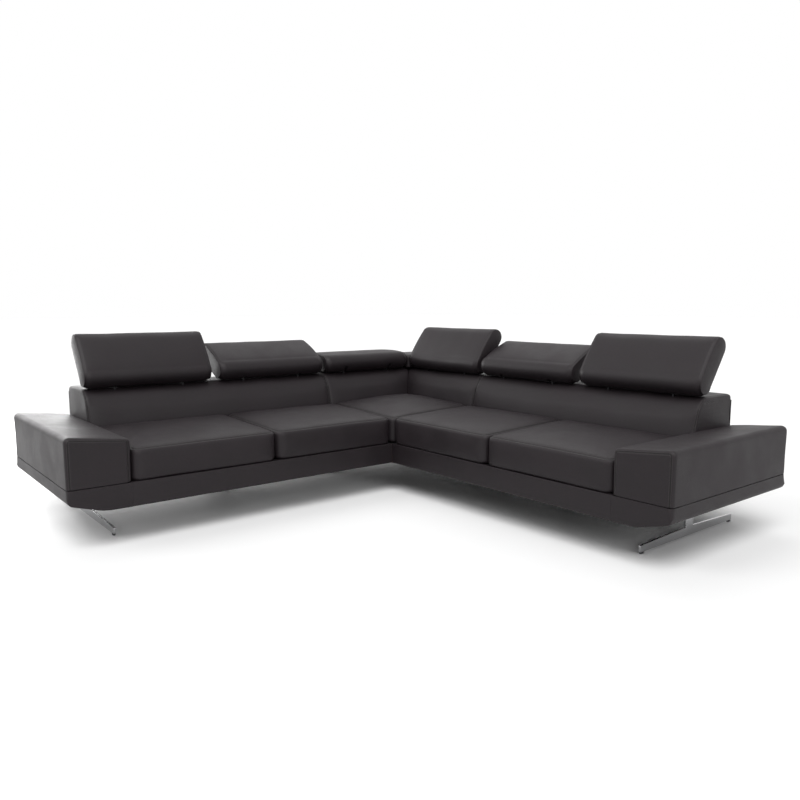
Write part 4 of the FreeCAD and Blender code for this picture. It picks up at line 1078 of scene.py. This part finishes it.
seat_leather = leather("leather_seats", second=1.0)
pad_leather = leather("leather_pads")
plain_leather = leather("leather_plain", sewn=False)
skid_steel = steel("polished_skid_steel", (0.48, 0.48, 0.49, 1), 0.12, (900, 6, 900), 0.10)
zinc = steel("zinc_fixings", (0.55, 0.56, 0.58, 1), 0.34, (120, 120, 120), 0.12)
hinge_steel = steel("hinge_steel", (0.035, 0.035, 0.037, 1), 0.45, (300, 300, 20), 0.10)
pine = ((0.42, 0.27, 0.14, 1), (0.24, 0.13, 0.06, 1), (6, 60, 60))
frame_wood = timber("frame_wood", *pine)
# Base frame wood with painted shade on its tops
shaded_frame_wood = timber("lined_frame_wood", *pine, PAINTED_SHADE_START)
board_wood = timber("headrest_board_wood", (0.50, 0.34, 0.19, 1), (0.33, 0.20, 0.10, 1), (5, 90, 90))
webbing = woven("elastic_webbing", (0.03, 0.03, 0.03, 1), (0.16, 0.15, 0.14, 1), 2400.0, 0.0003)
dust_cloth = woven("dust_cloth", (0.012, 0.012, 0.013, 1), (0.03, 0.03, 0.031, 1), 5200.0, 0.0001)
black_plastic = plastic("black_plastic", (0.018, 0.018, 0.019, 1))

SKIN_FINISH = (("seat_", seat_leather), ("arm_band", plain_leather), ("plinth", plain_leather),
               ("", pad_leather))
NODE_FINISH = (("skid_leg", skid_steel), ("skid_screws", zinc), ("skid_glides", black_plastic),
               ("support_feet", black_plastic), ("foot_bolts", zinc), ("frame_bolts", zinc),
               ("base_frame", shaded_frame_wood), ("back_frame", frame_wood), ("arm_frame", frame_wood),
               ("headrest_board", board_wood), ("headrest_arms", hinge_steel),
               ("headrest_hinge", hinge_steel), ("webbing", webbing), ("dust_covers", dust_cloth),
               ("rear_panel", plain_leather))


def give_finish(piece, name, choices):
    """Give a piece the first material whose start of a name fits."""
    for start, material in choices:
        if name.startswith(start):
            piece.data.materials.clear()
            piece.data.materials.append(material)
            return


for piece in UPHOLSTERY:
    give_finish(piece, piece.name, SKIN_FINISH)
for name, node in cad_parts.items():
    give_finish(node, name, NODE_FINISH)


# Floor, light and camera

FLOOR_SIZE = 120
WORLD_LIGHT = 0.26
CAMERA_DOWN = 0.1282
CAMERA_HEADING = 0.8930


def floor_material():
    """White floor that keeps the sofa's shadow."""
    material, _, shader = new_material("white_floor")
    shader.inputs["Base Color"].default_value = (0.97, 0.97, 0.97, 1)
    shader.inputs["Roughness"].default_value = 0.6
    shader.inputs["Specular IOR Level"].default_value = 0.1
    return material


deselect()
bpy.ops.mesh.primitive_plane_add(size=FLOOR_SIZE, location=(0, 0, 0))
floor = bpy.context.active_object
floor.name = "floor"
floor.data.materials.append(floor_material())

world = bpy.data.worlds.new("studio")
bpy.context.scene.world = world
world.use_nodes = True
make = Nodes(world.node_tree)
path = make.add("ShaderNodeLightPath")
seen = make.math("MAXIMUM", path.outputs["Is Camera Ray"], path.outputs["Is Glossy Ray"])
seen = make.math("MAXIMUM", seen, path.outputs["Is Transmission Ray"])
backdrop = world.node_tree.nodes["Background"]
backdrop.inputs["Color"].default_value = (1, 1, 1, 1)
make.tree.links.new(make.fade(seen, 0.0, 1.0, WORLD_LIGHT, 1.0), backdrop.inputs["Strength"])


def hang(name, lamp, direction, place=(0, 0, 0)):
    """Put a lamp in the scene so that it shines along a direction."""
    holder = bpy.data.objects.new(name, lamp)
    holder.location = place
    holder.rotation_euler = direction.to_track_quat("-Z", "Y").to_euler()
    bpy.context.scene.collection.objects.link(holder)


def sun(name, direction, strength, spread):
    """Distant soft light that shines along a direction."""
    lamp = bpy.data.lights.new(name, "SUN")
    lamp.energy = strength
    lamp.angle = math.radians(spread)
    hang(name, lamp, Vector(direction))


def panel(name, place, aim, size, power):
    """Soft rectangular light that faces a point."""
    lamp = bpy.data.lights.new(name, "AREA")
    lamp.shape = "RECTANGLE"
    lamp.size, lamp.size_y = size
    lamp.energy = power
    hang(name, lamp, Vector(aim) - Vector(place), place)


sun("key", (-0.45, 0.45, -1.0), 2.1, 40)
sun("low_fill", (-1.0, 0.15, -0.5), 0.55, 30)
sun("side_fill", (0.5, 1.0, -0.9), 0.6, 30)
sun("back_fill", (0.55, -0.45, -1.0), 0.35, 40)
panel("rim", (-4.5, -0.6, 1.2), (0.0, -0.6, 0.4), (3.0, 1.6), 110)

camera = bpy.data.cameras.new("camera")
camera.lens = 32.76
camera.sensor_width = 36.0
viewer = bpy.data.objects.new("camera", camera)
viewer.location = (2.82043, -2.1280, 1.05012)
viewer.rotation_euler = (math.pi / 2 - CAMERA_DOWN, 0, CAMERA_HEADING)
bpy.context.scene.collection.objects.link(viewer)
bpy.context.scene.camera = viewer
bpy.context.scene.view_settings.view_transform = "Standard"
